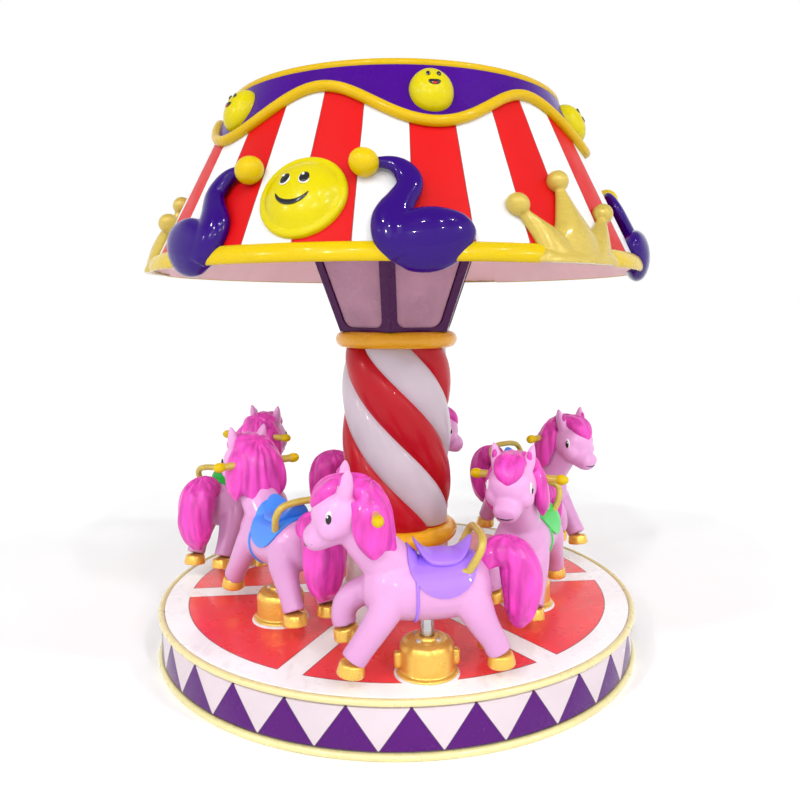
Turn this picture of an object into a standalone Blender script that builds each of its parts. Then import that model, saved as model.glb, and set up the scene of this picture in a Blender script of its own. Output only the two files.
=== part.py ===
"""Small fairground carousel: six lifting ponies on a turning deck, under a striped canopy.

Metres, +Z up. The origin is on the ground under the centre of the base. The camera side is -Y.
"""

import math

import bmesh
import bpy
from mathutils import Matrix, Vector

# General
GAP = 0.0003
MERGE = 0.0001

# Base and deck
BASE_RADIUS = 1.08
BASE_BEAD = 0.0137
BASE_TOP = 0.1845
BEARING_RADIUS = 0.36
DECK_TOP = 0.2135
DECK_THICKNESS = 0.023
DECK_BEAD_Z = 0.204
BASE_STEPS = 60

# Column
COLLAR_OUTER = 0.2855
COLLAR_HALF = 0.0378
LOWER_COLLAR_Z = 0.4935
UPPER_COLLAR_Z = 1.3945
PLINTH_RADIUS = 0.262
COLUMN_RADIUS = 0.247
COLUMN_LOBE = 0.011
COLUMN_LOBES = 6
COLUMN_TWIST = math.radians(-206)
COLUMN_TOP_CREST = math.radians(-103)
COLUMN_LEVELS = 12
COLUMN_SEGMENTS = 30
COLUMN_STEPS = 30

# Lantern
LANTERN_SIDES = 6
LANTERN_TOP = 1.9
LANTERN_BOTTOM_RADIUS = 0.281
LANTERN_TOP_RADIUS = 0.458
LANTERN_FRAME = 0.014
LANTERN_POST = 0.037
LANTERN_TURN = math.radians(-6)

# Canopy
CANOPY_STEPS = 60
TOP_RING_STEPS = 48
CANOPY_WALL = 0.012
CANOPY_LOW = 1.694
CANOPY_HIGH = 2.43
CONE_Z = 2.291
CONE_RADIUS = 0.807
CONE_SLOPE = 0.485
CEILING_THICKNESS = 0.012
ROOF_THICKNESS = 0.012
TOP_RING_BEAD = 0.0145
RIM_BAR_Z = 1.7245
RIM_BAR_HALF_HEIGHT = 0.0355
RIM_BAR_DEPTH = 0.019
RIM_BAR_EDGE = 0.002
RIM_BAR_POINTS = 5

# Valance
WAVE_LOBES = 6
WAVE_Z = 2.277
WAVE_HEIGHT = 0.077
WAVE_LOW_TURN = math.radians(28.3)
WAVE_SAMPLES = 60
VALANCE_BEAD = 0.0205
VALANCE_SKIN = 0.006
VALANCE_TOP_Z = 2.4292
DOME_RADIUS = 0.087
DOME_FLATNESS = 0.72
DOME_Z = 2.32

# Canopy ornaments: the canopy is modelled with its first face at azimuth 0, and then turned as a whole.
CANOPY_TURN = math.radians(-109)
FACE_Z = 1.916
FACE_RADIUS = 0.163
HORN_TURNS = {1: math.radians(23.7), -1: math.radians(24.9)}
CROWN_TURN = math.radians(56.5)
ORNAMENT_TURN = math.radians(120)

# Ponies
PONY_AZIMUTHS = (-83, -142, 159, 96, 36, -22)
PONY_RINGS = (0.89, 0.632)
PONY_LIFTS = (0.045, 0.07, 0.065, 0.09, 0.085, 0.045)
POST_RADIUS = 0.025
POST_BOTTOM = -0.009
POST_TOP = 0.285
POST_STEPS = 16
HANDLEBAR_RADIUS = 0.018
HANDLEBAR_REACH = 0.21
HANDLEBAR_X = 0.195
HANDLEBAR_Z = 0.57
BACKREST_RADIUS = 0.014
PEDESTAL_RADIUS = 0.1
PEDESTAL_FLANGE = 0.1135
PEDESTAL_HEIGHT = 0.13
PEDESTAL_BORE = POST_RADIUS + 0.0006


def clear_scene():
    for item in list(bpy.data.objects):
        bpy.data.objects.remove(item, do_unlink=True)


def new_collection(name, hidden=False):
    collection = bpy.data.collections.new(name)
    bpy.context.scene.collection.children.link(collection)
    collection.hide_render = hidden
    return collection


def material(name, colour, roughness=0.25, metallic=0.0):
    made = bpy.data.materials.new(name)
    made.use_nodes = True
    made.diffuse_color = (*colour, 1.0)
    shader = made.node_tree.nodes["Principled BSDF"]
    shader.inputs["Base Color"].default_value = (*colour, 1.0)
    shader.inputs["Roughness"].default_value = roughness
    shader.inputs["Metallic"].default_value = metallic
    return made


def smooth(mesh, angle=math.radians(35)):
    mesh.shade_smooth()
    mesh.set_sharp_from_angle(angle=angle)


def add_object(name, mesh, finish=None, parent=None):
    made = bpy.data.objects.new(name, mesh)
    PARTS.objects.link(made)
    if finish is not None and not mesh.materials:
        mesh.materials.append(finish)
    if parent is not None:
        made.parent = parent
    return made


def add_cutter(name, mesh):
    made = bpy.data.objects.new(name, mesh)
    CUTTERS.objects.link(made)
    made.hide_render = True
    made.display_type = "WIRE"
    return made


def mesh_from(bm, name):
    bmesh.ops.recalc_face_normals(bm, faces=bm.faces)
    mesh = bpy.data.meshes.new(name)
    bm.to_mesh(mesh)
    bm.free()
    smooth(mesh)
    return mesh


def turned_mesh(name, profile, steps):
    """The profile, a list of (radius, z) from top to bottom, turned about Z by a Screw modifier."""
    outline = bpy.data.meshes.new(name + "_profile")
    points = [(radius, 0.0, z) for radius, z in profile]
    closed = (Vector(points[0]) - Vector(points[-1])).length > MERGE and points[0][0] > MERGE
    edges = [(i, i + 1) for i in range(len(points) - 1)]
    if closed:
        edges.append((len(points) - 1, 0))
    outline.from_pydata(points, edges, [])
    guide = add_cutter(name + "_guide", outline)
    screw = guide.modifiers.new("turn", "SCREW")
    screw.steps = steps
    screw.render_steps = steps
    screw.use_merge_vertices = True
    screw.merge_threshold = MERGE
    return applied_mesh(guide, name)


def applied_mesh(guide, name):
    """The object's evaluated mesh in world space; the object itself goes."""
    bpy.context.view_layer.update()
    graph = bpy.context.evaluated_depsgraph_get()
    mesh = bpy.data.meshes.new_from_object(guide.evaluated_get(graph))
    mesh.transform(guide.matrix_world)
    mesh.name = name
    bpy.data.objects.remove(guide, do_unlink=True)
    bm = bmesh.new()
    bm.from_mesh(mesh)
    bmesh.ops.remove_doubles(bm, verts=bm.verts, dist=MERGE / 10)
    bm.to_mesh(mesh)
    bm.free()
    smooth(mesh)
    return mesh


def boolean_mesh(name, base, operations):
    """The base mesh with each (operation, mesh) carried out on it in turn."""
    guide = add_cutter(name + "_work", base)
    tools = []
    for index, (operation, tool_mesh) in enumerate(operations):
        tool = add_cutter(f"{name}_tool_{index}", tool_mesh)
        tools.append(tool)
        step = guide.modifiers.new(f"step_{index}", "BOOLEAN")
        step.operation = operation
        step.solver = "EXACT"
        step.object = tool
    mesh = applied_mesh(guide, name)
    for tool in tools:
        bpy.data.objects.remove(tool, do_unlink=True)
    return mesh


def ring_frame(centre, direction, side):
    """A matrix at the centre, with Z along the direction and X to the side."""
    z = Vector(direction).normalized()
    x = Vector(side)
    x = (x - z * x.dot(z)).normalized()
    y = z.cross(x)
    return Matrix.Translation(Vector(centre)) @ Matrix((x, y, z)).transposed().to_4x4()


def loft_mesh(name, stations, segments, side=(0.0, 1.0, 0.0)):
    """Rings joined end to end. A station is (centre, half width to the side, half height)."""
    bm = bmesh.new()
    rings = []
    centres = [Vector(centre) for centre, _, _ in stations]
    for index, (_, wide, high) in enumerate(stations):
        before = centres[max(index - 1, 0)]
        after = centres[min(index + 1, len(centres) - 1)]
        frame = ring_frame(centres[index], after - before, side)
        scale = Matrix.Diagonal((wide, high, 1.0, 1.0))
        made = bmesh.ops.create_circle(bm, segments=segments, radius=1.0, matrix=frame @ scale)
        rings.append(made["verts"])
    join_rings(bm, rings)
    return mesh_from(bm, name)


def ring_edges(verts):
    inside = set(verts)
    return [edge for edge in {e for v in verts for e in v.link_edges} if set(edge.verts) <= inside]


def join_rings(bm, rings, caps=True):
    edge_sets = [ring_edges(ring) for ring in rings]
    for first, second in zip(edge_sets, edge_sets[1:]):
        bmesh.ops.bridge_loops(bm, edges=first + second)
    if caps:
        bmesh.ops.contextual_create(bm, geom=edge_sets[0])
        bmesh.ops.contextual_create(bm, geom=edge_sets[-1])


def polar(radius, azimuth, z=0.0):
    return Vector((radius * math.cos(azimuth), radius * math.sin(azimuth), z))


def cylinder_mesh(name, radius, low, high, steps, at=(0.0, 0.0), turn=None):
    bm = bmesh.new()
    middle = Matrix.Translation((at[0], at[1], (low + high) / 2))
    if turn is not None:
        middle = turn
    bmesh.ops.create_cone(
        bm, cap_ends=True, segments=steps, radius1=radius, radius2=radius, depth=high - low, matrix=middle
    )
    return mesh_from(bm, name)


def sphere_mesh(name, centre, radii, across=12, rings=8):
    bm = bmesh.new()
    place = Matrix.Translation(centre) @ Matrix.Diagonal((*radii, 1.0))
    bmesh.ops.create_uvsphere(bm, u_segments=across, v_segments=rings, radius=1.0, matrix=place)
    return mesh_from(bm, name)


def torus_profile(radius, z, half_wide, half_high, points, lean=0.0):
    """A closed oval section, listed downwards along its outer side."""
    profile = []
    for index in range(points):
        turn = math.pi / 2 - 2 * math.pi * index / points
        out = half_wide * math.cos(turn)
        up = half_high * math.sin(turn)
        profile.append((radius + out - lean * up, z + up))
    return profile


def cone_radius(z):
    """Outer radius of the canopy shell at a height."""
    return CONE_RADIUS + CONE_SLOPE * (CONE_Z - z)


def on_slope(right, up, out, z, turn):
    """A point on the canopy: right round the shell, up its slope and out from it, from a height and a turn."""
    length = math.hypot(1.0, CONE_SLOPE)
    foot = cone_radius(z) - CONE_SLOPE * up / length
    return polar(foot + out / length, turn + right / foot, z + (up + CONE_SLOPE * out) / length)


def slope_frame(z):
    """At azimuth 0: X to the right seen from outside, Y up the slope, Z straight out of the shell."""
    up = Vector((-CONE_SLOPE, 0.0, 1.0)).normalized()
    right = Vector((0.0, 1.0, 0.0))
    out = right.cross(up)
    place = Vector((cone_radius(z), 0.0, z))
    return Matrix.Translation(place) @ Matrix((right, up, out)).transposed().to_4x4()


# Base
def build_base(white, gold):
    rebate = BASE_RADIUS - BASE_BEAD - GAP
    rebate_top = 2 * BASE_BEAD + GAP
    bearing_top = DECK_TOP - DECK_THICKNESS - GAP
    profile = [
        (0.0, bearing_top),
        (BEARING_RADIUS, bearing_top),
        (BEARING_RADIUS, BASE_TOP),
        (BASE_RADIUS, BASE_TOP),
        (BASE_RADIUS, rebate_top),
        (rebate, rebate_top),
        (rebate, 0.0),
        (0.0, 0.0),
    ]
    add_object("base_drum", turned_mesh("base_drum", profile, BASE_STEPS), white)
    bead = torus_profile(BASE_RADIUS, BASE_BEAD, BASE_BEAD, BASE_BEAD, 8)
    add_object("base_bead", turned_mesh("base_bead", bead, BASE_STEPS), gold)


def build_deck(white, gold):
    edge = BASE_RADIUS - BASE_BEAD - GAP
    bottom = DECK_TOP - DECK_THICKNESS
    profile = [(0.0, DECK_TOP), (edge, DECK_TOP), (edge, bottom), (0.0, bottom)]
    add_object("deck", turned_mesh("deck", profile, BASE_STEPS), white)
    bead = torus_profile(BASE_RADIUS, DECK_BEAD_Z, BASE_BEAD, BASE_BEAD, 8)
    add_object("deck_bead", turned_mesh("deck_bead", bead, BASE_STEPS), gold)


# Column
def collar_profile(z):
    profile = [(0.0, z + COLLAR_HALF)]
    points = 6
    for index in range(points + 1):
        turn = math.pi / 2 - math.pi * index / points
        out = COLLAR_OUTER - COLLAR_HALF + COLLAR_HALF * math.cos(turn)
        profile.append((out, z + COLLAR_HALF * math.sin(turn)))
    profile.append((0.0, z - COLLAR_HALF))
    return profile


def build_column(white, gold, red):
    low = DECK_TOP + GAP
    high = LOWER_COLLAR_Z - COLLAR_HALF - GAP
    profile = [(0.0, high), (PLINTH_RADIUS - 0.02, high), (PLINTH_RADIUS, low), (0.0, low)]
    add_object("column_plinth", turned_mesh("column_plinth", profile, COLUMN_STEPS), white)
    for name, z in (("lower_collar", LOWER_COLLAR_Z), ("upper_collar", UPPER_COLLAR_Z)):
        add_object(name, turned_mesh(name, collar_profile(z), COLUMN_STEPS), gold)
    add_object("twist_column", twist_column_mesh(), red)


def twist_column_mesh():
    """Six round lobes wound about the axis, a little fuller at mid height."""
    low = LOWER_COLLAR_Z + COLLAR_HALF + GAP
    high = UPPER_COLLAR_Z - COLLAR_HALF - GAP
    bm = bmesh.new()
    rings = []
    for level in range(COLUMN_LEVELS + 1):
        share = level / COLUMN_LEVELS
        z = low + share * (high - low)
        waist = 0.018 * (2 * share - 1) ** 6
        made = bmesh.ops.create_circle(
            bm, segments=COLUMN_SEGMENTS, radius=1.0, matrix=Matrix.Translation((0, 0, z))
        )
        for vert in made["verts"]:
            azimuth = math.atan2(vert.co.y, vert.co.x)
            swing = math.cos(COLUMN_LOBES * (azimuth - COLUMN_TOP_CREST + COLUMN_TWIST * (1 - share)))
            radius = COLUMN_RADIUS + COLUMN_LOBE * swing - waist
            vert.co = polar(radius, azimuth, z)
        rings.append(made["verts"])
    join_rings(bm, rings)
    return mesh_from(bm, "twist_column")


# Lantern
def lantern_bottom():
    return UPPER_COLLAR_Z + COLLAR_HALF + GAP


def build_lantern(purple, mauve):
    low = lantern_bottom()
    tall = LANTERN_TOP - low
    turn = Matrix.Rotation(LANTERN_TURN, 4, "Z")
    place = Matrix.Translation((0, 0, low + tall / 2)) @ turn

    shell = frustum_mesh("lantern_shell", place, tall, 0.0)
    hollow = frustum_mesh("lantern_hollow", place, tall * 1.02, LANTERN_FRAME)
    steps = [("DIFFERENCE", hollow), ("DIFFERENCE", window_cutters(place, tall))]
    add_object("lantern_frame", boolean_mesh("lantern_frame", shell, steps), purple)
    panels = frustum_mesh("lantern_panels", place, tall, LANTERN_FRAME + 2 * GAP)
    add_object("lantern_panels", panels, mauve)


def frustum_mesh(name, place, tall, sunk):
    """The lantern's six-sided body with its faces sunk by a depth."""
    across = sunk / math.cos(math.pi / LANTERN_SIDES)
    spread = (LANTERN_TOP_RADIUS - LANTERN_BOTTOM_RADIUS) / (LANTERN_TOP - lantern_bottom())
    middle = (LANTERN_TOP_RADIUS + LANTERN_BOTTOM_RADIUS) / 2 - across
    bm = bmesh.new()
    bmesh.ops.create_cone(
        bm,
        cap_ends=True,
        segments=LANTERN_SIDES,
        radius1=middle - spread * tall / 2,
        radius2=middle + spread * tall / 2,
        depth=tall,
        matrix=place,
    )
    return mesh_from(bm, name)


def window_cutters(place, tall):
    """One thick pane for each side, inset from its posts."""
    bm = bmesh.new()
    bmesh.ops.create_cone(
        bm,
        cap_ends=False,
        segments=LANTERN_SIDES,
        radius1=LANTERN_BOTTOM_RADIUS,
        radius2=LANTERN_TOP_RADIUS,
        depth=tall,
        matrix=place,
    )
    inset = bmesh.ops.inset_individual(bm, faces=list(bm.faces), thickness=LANTERN_POST)
    bmesh.ops.delete(bm, geom=inset["faces"], context="FACES")
    guide = add_cutter("window_guide", mesh_from(bm, "window_guide"))
    thick = guide.modifiers.new("thickness", "SOLIDIFY")
    thick.thickness = 3 * LANTERN_FRAME
    thick.offset = 0.0
    return applied_mesh(guide, "window_cutters")


# Canopy
def rim_bar_outline(grown):
    """The rim bar's outer face as (radius, z), listed downwards, leaning with the shell."""
    outline = []
    for index in range(RIM_BAR_POINTS + 1):
        turn = math.pi / 2 - math.pi * index / RIM_BAR_POINTS
        z = RIM_BAR_Z + (RIM_BAR_HALF_HEIGHT + grown) * math.sin(turn)
        out = RIM_BAR_EDGE + RIM_BAR_DEPTH * math.cos(turn) + grown
        outline.append((cone_radius(z) + out, z))
    return outline


def canopy_cutter_mesh():
    """Everything inside the canopy's outer face and its rim bar, grown by the gap."""
    above = CANOPY_HIGH + 0.2
    below = CANOPY_LOW - 0.3
    outline = rim_bar_outline(GAP * 2)
    shoulder = outline[0][1]
    profile = [(0.0, above), (cone_radius(above) + GAP, above), (cone_radius(shoulder) + GAP, shoulder)]
    profile += outline
    profile += [(outline[-1][0] - 0.01, below), (0.0, below)]
    return turned_mesh("canopy_cutter", profile, CANOPY_STEPS)


def canopy_empty():
    """What the canopy and its ornaments hang on: it turns them so that one face looks at the front left."""
    empty = bpy.data.objects.new("canopy", None)
    PARTS.objects.link(empty)
    empty.rotation_euler.z = CANOPY_TURN
    return empty


def build_canopy(canopy, white, yellow, pale):
    inner = CANOPY_WALL
    shell = [
        (cone_radius(CANOPY_HIGH), CANOPY_HIGH),
        (cone_radius(CANOPY_LOW), CANOPY_LOW),
        (cone_radius(CANOPY_LOW) - inner, CANOPY_LOW),
        (cone_radius(CANOPY_HIGH) - inner, CANOPY_HIGH),
    ]
    add_object("canopy_shell", turned_mesh("canopy_shell", shell, CANOPY_STEPS), white, canopy)

    discs = (
        ("canopy_ceiling", LANTERN_TOP + GAP, CEILING_THICKNESS, pale),
        ("canopy_roof", CANOPY_HIGH - 0.03, ROOF_THICKNESS, white),
    )
    for name, bottom, thickness, finish in discs:
        top = bottom + thickness
        profile = [
            (0.0, top),
            (cone_radius(top) - inner - 2 * GAP, top),
            (cone_radius(bottom) - inner - 2 * GAP, bottom),
            (0.0, bottom),
        ]
        add_object(name, turned_mesh(name, profile, CANOPY_STEPS), finish, canopy)

    ring_z = CANOPY_HIGH + TOP_RING_BEAD + GAP
    ring_radius = cone_radius(CANOPY_HIGH) - inner / 2
    ring = torus_profile(ring_radius, ring_z, TOP_RING_BEAD, TOP_RING_BEAD, 6)
    add_object("top_ring", turned_mesh("top_ring", ring, TOP_RING_STEPS), yellow, canopy)
    build_rim_bar(canopy, yellow)


def build_rim_bar(canopy, yellow):
    """Half-round bar on the outside of the shell's lower edge."""
    profile = rim_bar_outline(0.0)
    for _, z in (profile[-1], profile[0]):
        profile.append((cone_radius(z) + GAP, z))
    add_object("rim_bar", turned_mesh("rim_bar", profile, CANOPY_STEPS), yellow, canopy)


def wave_z(azimuth):
    return WAVE_Z - WAVE_HEIGHT * math.cos(WAVE_LOBES * (azimuth - WAVE_LOW_TURN))


def build_valance(canopy, purple, yellow, cutter):
    bm = bmesh.new()
    rings = []
    drop = VALANCE_BEAD * 1.3
    for index in range(WAVE_SAMPLES):
        azimuth = 2 * math.pi * index / WAVE_SAMPLES
        low = wave_z(azimuth) + drop
        section = []
        for z, out in (
            (VALANCE_TOP_Z, GAP + 0.0012),
            (VALANCE_TOP_Z, VALANCE_SKIN),
            (low, VALANCE_SKIN),
            (low, GAP + 0.0012),
        ):
            section.append(bm.verts.new(polar(cone_radius(z) + out, azimuth, z)))
        for first, second in zip(section, section[1:] + section[:1]):
            bm.edges.new((first, second))
        rings.append(section)
    join_rings(bm, rings + [rings[0]], caps=False)
    band = mesh_from(bm, "valance")
    band_and_domes = [("UNION", dome) for dome in dome_meshes(cutter)]
    add_object("valance", boolean_mesh("valance", band, band_and_domes), purple, canopy)

    points = [
        polar(cone_radius(wave_z(a)) + 0.6 * VALANCE_BEAD, a, wave_z(a))
        for a in (2 * math.pi * i / WAVE_SAMPLES for i in range(WAVE_SAMPLES))
    ]
    curve = tube_curve("valance_bead_path", points, VALANCE_BEAD, cyclic=True)
    tube = applied_mesh(curve, "valance_bead_tube")
    bead = boolean_mesh("valance_bead", tube, [("DIFFERENCE", cutter.copy())])
    add_object("valance_bead", bead, yellow, canopy)


def dome_meshes(cutter):
    """One low dome over each low point of the wave, its back flush with the shell."""
    domes = []
    for index in range(WAVE_LOBES):
        turn = Matrix.Rotation(WAVE_LOW_TURN + 2 * math.pi * index / WAVE_LOBES, 4, "Z")
        bm = bmesh.new()
        squash = Matrix.Diagonal((1.0, 1.0, DOME_FLATNESS, 1.0))
        place = turn @ slope_frame(DOME_Z) @ squash
        bmesh.ops.create_uvsphere(bm, u_segments=12, v_segments=6, radius=DOME_RADIUS, matrix=place)
        ball = mesh_from(bm, "dome_ball")
        domes.append(boolean_mesh("dome", ball, [("DIFFERENCE", cutter.copy())]))
    return domes


def tube_curve(name, points, radius, cyclic=False, detail=1):
    curve = bpy.data.curves.new(name, "CURVE")
    curve.dimensions = "3D"
    curve.bevel_depth = radius
    curve.bevel_resolution = detail
    curve.use_fill_caps = not cyclic
    spline = curve.splines.new("POLY")
    spline.points.add(len(points) - 1)
    for point, place in zip(spline.points, points):
        point.co = (*place, 1.0)
    spline.use_cyclic_u = cyclic
    made = bpy.data.objects.new(name, curve)
    CUTTERS.objects.link(made)
    made.hide_render = True
    made.display_type = "WIRE"
    return made


# Canopy ornaments
def build_faces(canopy, yellow, cutter):
    frame = slope_frame(FACE_Z)
    profile = [
        (0.0, 0.068),
        (0.05, 0.063),
        (0.098, 0.046),
        (0.128, 0.027),
        (0.15, 0.023),
        (FACE_RADIUS, 0.01),
        (FACE_RADIUS, -0.03),
        (0.0, -0.03),
    ]
    disc = turned_mesh("face_disc", profile, 24)
    disc.transform(frame)
    face = boolean_mesh("face", disc, [("DIFFERENCE", cutter.copy())])
    face.materials.append(yellow)
    for index in range(3):
        made = add_object(f"face_{index + 1}", face, parent=canopy)
        made.rotation_euler.z = index * ORNAMENT_TURN


# Each horn station is (right, up the slope, out, half thickness, half width).
HORN_NECK = (
    (-0.165, 0.341, 0.026, 0.02, 0.02),
    (-0.119, 0.341, 0.026, 0.022, 0.0225),
    (-0.084, 0.334, 0.027, 0.024, 0.03),
    (-0.05, 0.312, 0.028, 0.026, 0.04),
    (-0.03, 0.27, 0.028, 0.028, 0.0455),
    (-0.038, 0.225, 0.03, 0.032, 0.0465),
    (-0.06, 0.178, 0.03, 0.04, 0.052),
    (-0.085, 0.132, 0.026, 0.048, 0.068),
    (-0.086, 0.08, 0.02, 0.054, 0.085),
    (-0.06, 0.03, 0.01, 0.05, 0.085),
    (-0.045, -0.02, 0.0, 0.03, 0.05),
)
HORN_BULB = (
    (-0.125, 0.035, 0.006, 0.02, 0.03),
    (-0.095, 0.045, 0.01, 0.046, 0.07),
    (-0.045, 0.046, 0.012, 0.057, 0.102),
    (0.01, 0.05, 0.014, 0.06, 0.11),
    (0.06, 0.058, 0.016, 0.058, 0.106),
    (0.105, 0.066, 0.016, 0.05, 0.082),
    (0.148, 0.072, 0.014, 0.034, 0.054),
    (0.178, 0.075, 0.01, 0.01, 0.016),
)
HORN_BALL = (-0.178, 0.334, 0.038)
HORN_BALL_RADIUS = 0.051
HORN_Z = 1.715
RAISED_HORN_Z = 1.758


def horn_loft(name, rows, side, z, upright):
    """Rings round the stations. An upright ring stands on the radius, the others on the shell's slope."""
    turn = side * HORN_TURNS[side]
    stations = []
    for right, up, out, thick, wide in rows:
        stations.append((on_slope(side * right, up, out, z, turn), thick, wide))
    out_of_shell = Vector((1.0, 0.0, 0.0 if upright else CONE_SLOPE))
    return loft_mesh(name, stations, 8, side=Matrix.Rotation(turn, 3, "Z") @ out_of_shell)


def horn_mesh(cutter, side, z):
    """A neck that curls over into a two-lobed bulb, with a ball at its tip, cut to fit the canopy."""
    neck = horn_loft("horn_neck", HORN_NECK, side, z, False)
    bulb = horn_loft("horn_bulb", HORN_BULB, side, z, True)
    right, up, out = HORN_BALL
    centre = on_slope(side * right, up, out, z, side * HORN_TURNS[side])
    ball = sphere_mesh("horn_ball", centre, (HORN_BALL_RADIUS,) * 3, 10, 7)
    steps = [("UNION", bulb), ("UNION", ball), ("DIFFERENCE", cutter.copy())]
    return boolean_mesh("horn", neck, steps)


def build_horns(canopy, violet, cutter):
    """Three pairs of horns. The first pair and the horn next to it hang lowest."""
    shapes = {}
    for side in (1, -1):
        for z in (HORN_Z, RAISED_HORN_Z):
            shapes[side, z] = horn_mesh(cutter, side, z)
            shapes[side, z].materials.append(violet)
    low_horns = (1, 2, 4)
    for index in range(3):
        for number, side in ((2 * index + 1, 1), (2 * index + 2, -1)):
            z = HORN_Z if number in low_horns else RAISED_HORN_Z
            made = add_object(f"horn_{number}", shapes[side, z], parent=canopy)
            made.rotation_euler.z = index * ORNAMENT_TURN


CROWN_OUTLINE = (
    (-0.182, -0.02),
    (-0.206, 0.055),
    (-0.238, 0.17),
    (-0.106, 0.105),
    (-0.02, 0.265),
    (0.02, 0.265),
    (0.106, 0.105),
    (0.238, 0.17),
    (0.206, 0.055),
    (0.182, -0.02),
    (0.0, -0.02),
)
CROWN_BALLS = ((-0.23, 0.183), (0.0, 0.299), (0.23, 0.183))
CROWN_Z = 1.72
CROWN_FRONT = 0.042
CROWN_BACK = -0.03
CROWN_BALL = 0.041
CROWN_BALL_OUT = 0.022


def build_crowns(canopy, pale_gold, cutter):
    bm = bmesh.new()
    outline = [bm.verts.new(on_slope(x, y, CROWN_BACK, CROWN_Z, CROWN_TURN)) for x, y in CROWN_OUTLINE]
    back = bm.faces.new(outline)
    bmesh.ops.triangulate(bm, faces=[back])
    sheet = bmesh.ops.extrude_face_region(bm, geom=list(bm.faces))
    raised = [item for item in sheet["geom"] if isinstance(item, bmesh.types.BMVert)]
    out_of_shell = Matrix.Rotation(CROWN_TURN, 3, "Z") @ Vector((1.0, 0.0, CONE_SLOPE)).normalized()
    bmesh.ops.translate(bm, verts=raised, vec=out_of_shell * (CROWN_FRONT - CROWN_BACK))
    plate = mesh_from(bm, "crown_plate")
    steps = []
    for x, y in CROWN_BALLS:
        centre = on_slope(x, y, CROWN_BALL_OUT, CROWN_Z, CROWN_TURN)
        steps.append(("UNION", sphere_mesh("crown_ball", centre, (CROWN_BALL,) * 3, 8, 6)))
    steps.append(("DIFFERENCE", cutter.copy()))
    crown = boolean_mesh("crown", plate, steps)
    crown.materials.append(pale_gold)
    for index in range(3):
        made = add_object(f"crown_{index + 1}", crown, parent=canopy)
        made.rotation_euler.z = index * ORNAMENT_TURN


# Ponies: X is forward, Y to the left, Z up from the lowest hoof.
TORSO = (
    ((-0.225, 0, 0.3), 0.04, 0.05),
    ((-0.185, 0, 0.293), 0.104, 0.103),
    ((-0.09, 0, 0.276), 0.122, 0.112),
    ((0.05, 0, 0.268), 0.118, 0.11),
    ((0.165, 0, 0.292), 0.108, 0.113),
    ((0.222, 0, 0.308), 0.045, 0.055),
)
NECK_AND_HEAD = (
    ((0.11, 0, 0.33), 0.085, 0.085),
    ((0.195, 0, 0.43), 0.083, 0.088),
    ((0.262, 0, 0.52), 0.095, 0.095),
    ((0.325, 0, 0.55), 0.098, 0.1),
    ((0.382, 0, 0.495), 0.07, 0.07),
    ((0.42, 0, 0.465), 0.052, 0.046),
    ((0.434, 0, 0.457), 0.03, 0.03),
)
MANE = (
    ((0.335, 0, 0.655), 0.05, 0.026),
    ((0.265, 0, 0.657), 0.088, 0.04),
    ((0.198, 0, 0.618), 0.102, 0.05),
    ((0.162, 0, 0.53), 0.1, 0.045),
    ((0.12, 0, 0.43), 0.06, 0.033),
)
TAIL = (
    ((-0.2, 0, 0.345), 0.035, 0.035),
    ((-0.265, 0, 0.388), 0.065, 0.055),
    ((-0.337, 0, 0.345), 0.088, 0.072),
    ((-0.353, 0, 0.235), 0.084, 0.066),
    ((-0.345, 0, 0.115), 0.03, 0.03),
)
FRONT_LEG = (
    ((0.14, 0.07, 0.27), 0.048, 0.056),
    ((0.195, 0.077, 0.17), 0.045, 0.05),
    ((0.268, 0.082, 0.06), 0.045, 0.048),
    ((0.285, 0.082, 0.018), 0.05, 0.053),
)
RAISED_LEG = (
    ((0.14, -0.07, 0.27), 0.048, 0.056),
    ((0.25, -0.082, 0.225), 0.045, 0.05),
    ((0.3, -0.084, 0.15), 0.044, 0.047),
    ((0.29, -0.082, 0.085), 0.05, 0.053),
)
HIND_LEG = (
    ((-0.14, 0.072, 0.26), 0.055, 0.066),
    ((-0.2, 0.077, 0.16), 0.046, 0.052),
    ((-0.246, 0.079, 0.06), 0.044, 0.048),
    ((-0.258, 0.079, 0.012), 0.05, 0.053),
)
EAR = (
    ((0.3, 0.058, 0.625), 0.024, 0.03),
    ((0.293, 0.072, 0.68), 0.02, 0.026),
    ((0.287, 0.08, 0.725), 0.006, 0.006),
)
BACKREST = (
    (-0.125, 0.085, 0.33),
    (-0.152, 0.106, 0.39),
    (-0.172, 0.11, 0.43),
    (-0.184, 0.092, 0.46),
    (-0.188, 0.05, 0.471),
    (-0.188, 0.015, 0.473),
)


def mirrored(stations):
    return [((x, -y, z), wide, high) for (x, y, z), wide, high in stations]


def pony_mesh():
    ears = (EAR, mirrored(EAR))
    legs = (FRONT_LEG, RAISED_LEG, HIND_LEG, mirrored(HIND_LEG))
    base = loft_mesh("pony_torso", TORSO, 10)
    steps = [("UNION", loft_mesh("pony_neck", NECK_AND_HEAD, 8))]
    steps.append(("UNION", loft_mesh("pony_mane", MANE, 6)))
    steps.append(("UNION", loft_mesh("pony_tail", TAIL, 6)))
    steps += [("UNION", loft_mesh("pony_leg", leg, 6)) for leg in legs]
    steps += [("UNION", loft_mesh("pony_ear", ear, 5)) for ear in ears]
    handle_hole = handlebar_mesh(HANDLEBAR_RADIUS + GAP, 0.4)
    post_hole = cylinder_mesh("post_hole", POST_RADIUS + GAP, 0.0, POST_TOP + GAP, POST_STEPS)
    steps.append(("DIFFERENCE", handle_hole))
    steps.append(("DIFFERENCE", post_hole))
    return boolean_mesh("pony_body", base, steps)


def handlebar_mesh(radius, reach):
    place = Matrix.Translation((HANDLEBAR_X, 0, HANDLEBAR_Z)) @ Matrix.Rotation(math.pi / 2, 4, "X")
    return cylinder_mesh("handlebar", radius, -reach, reach, 12, turn=place)


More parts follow.
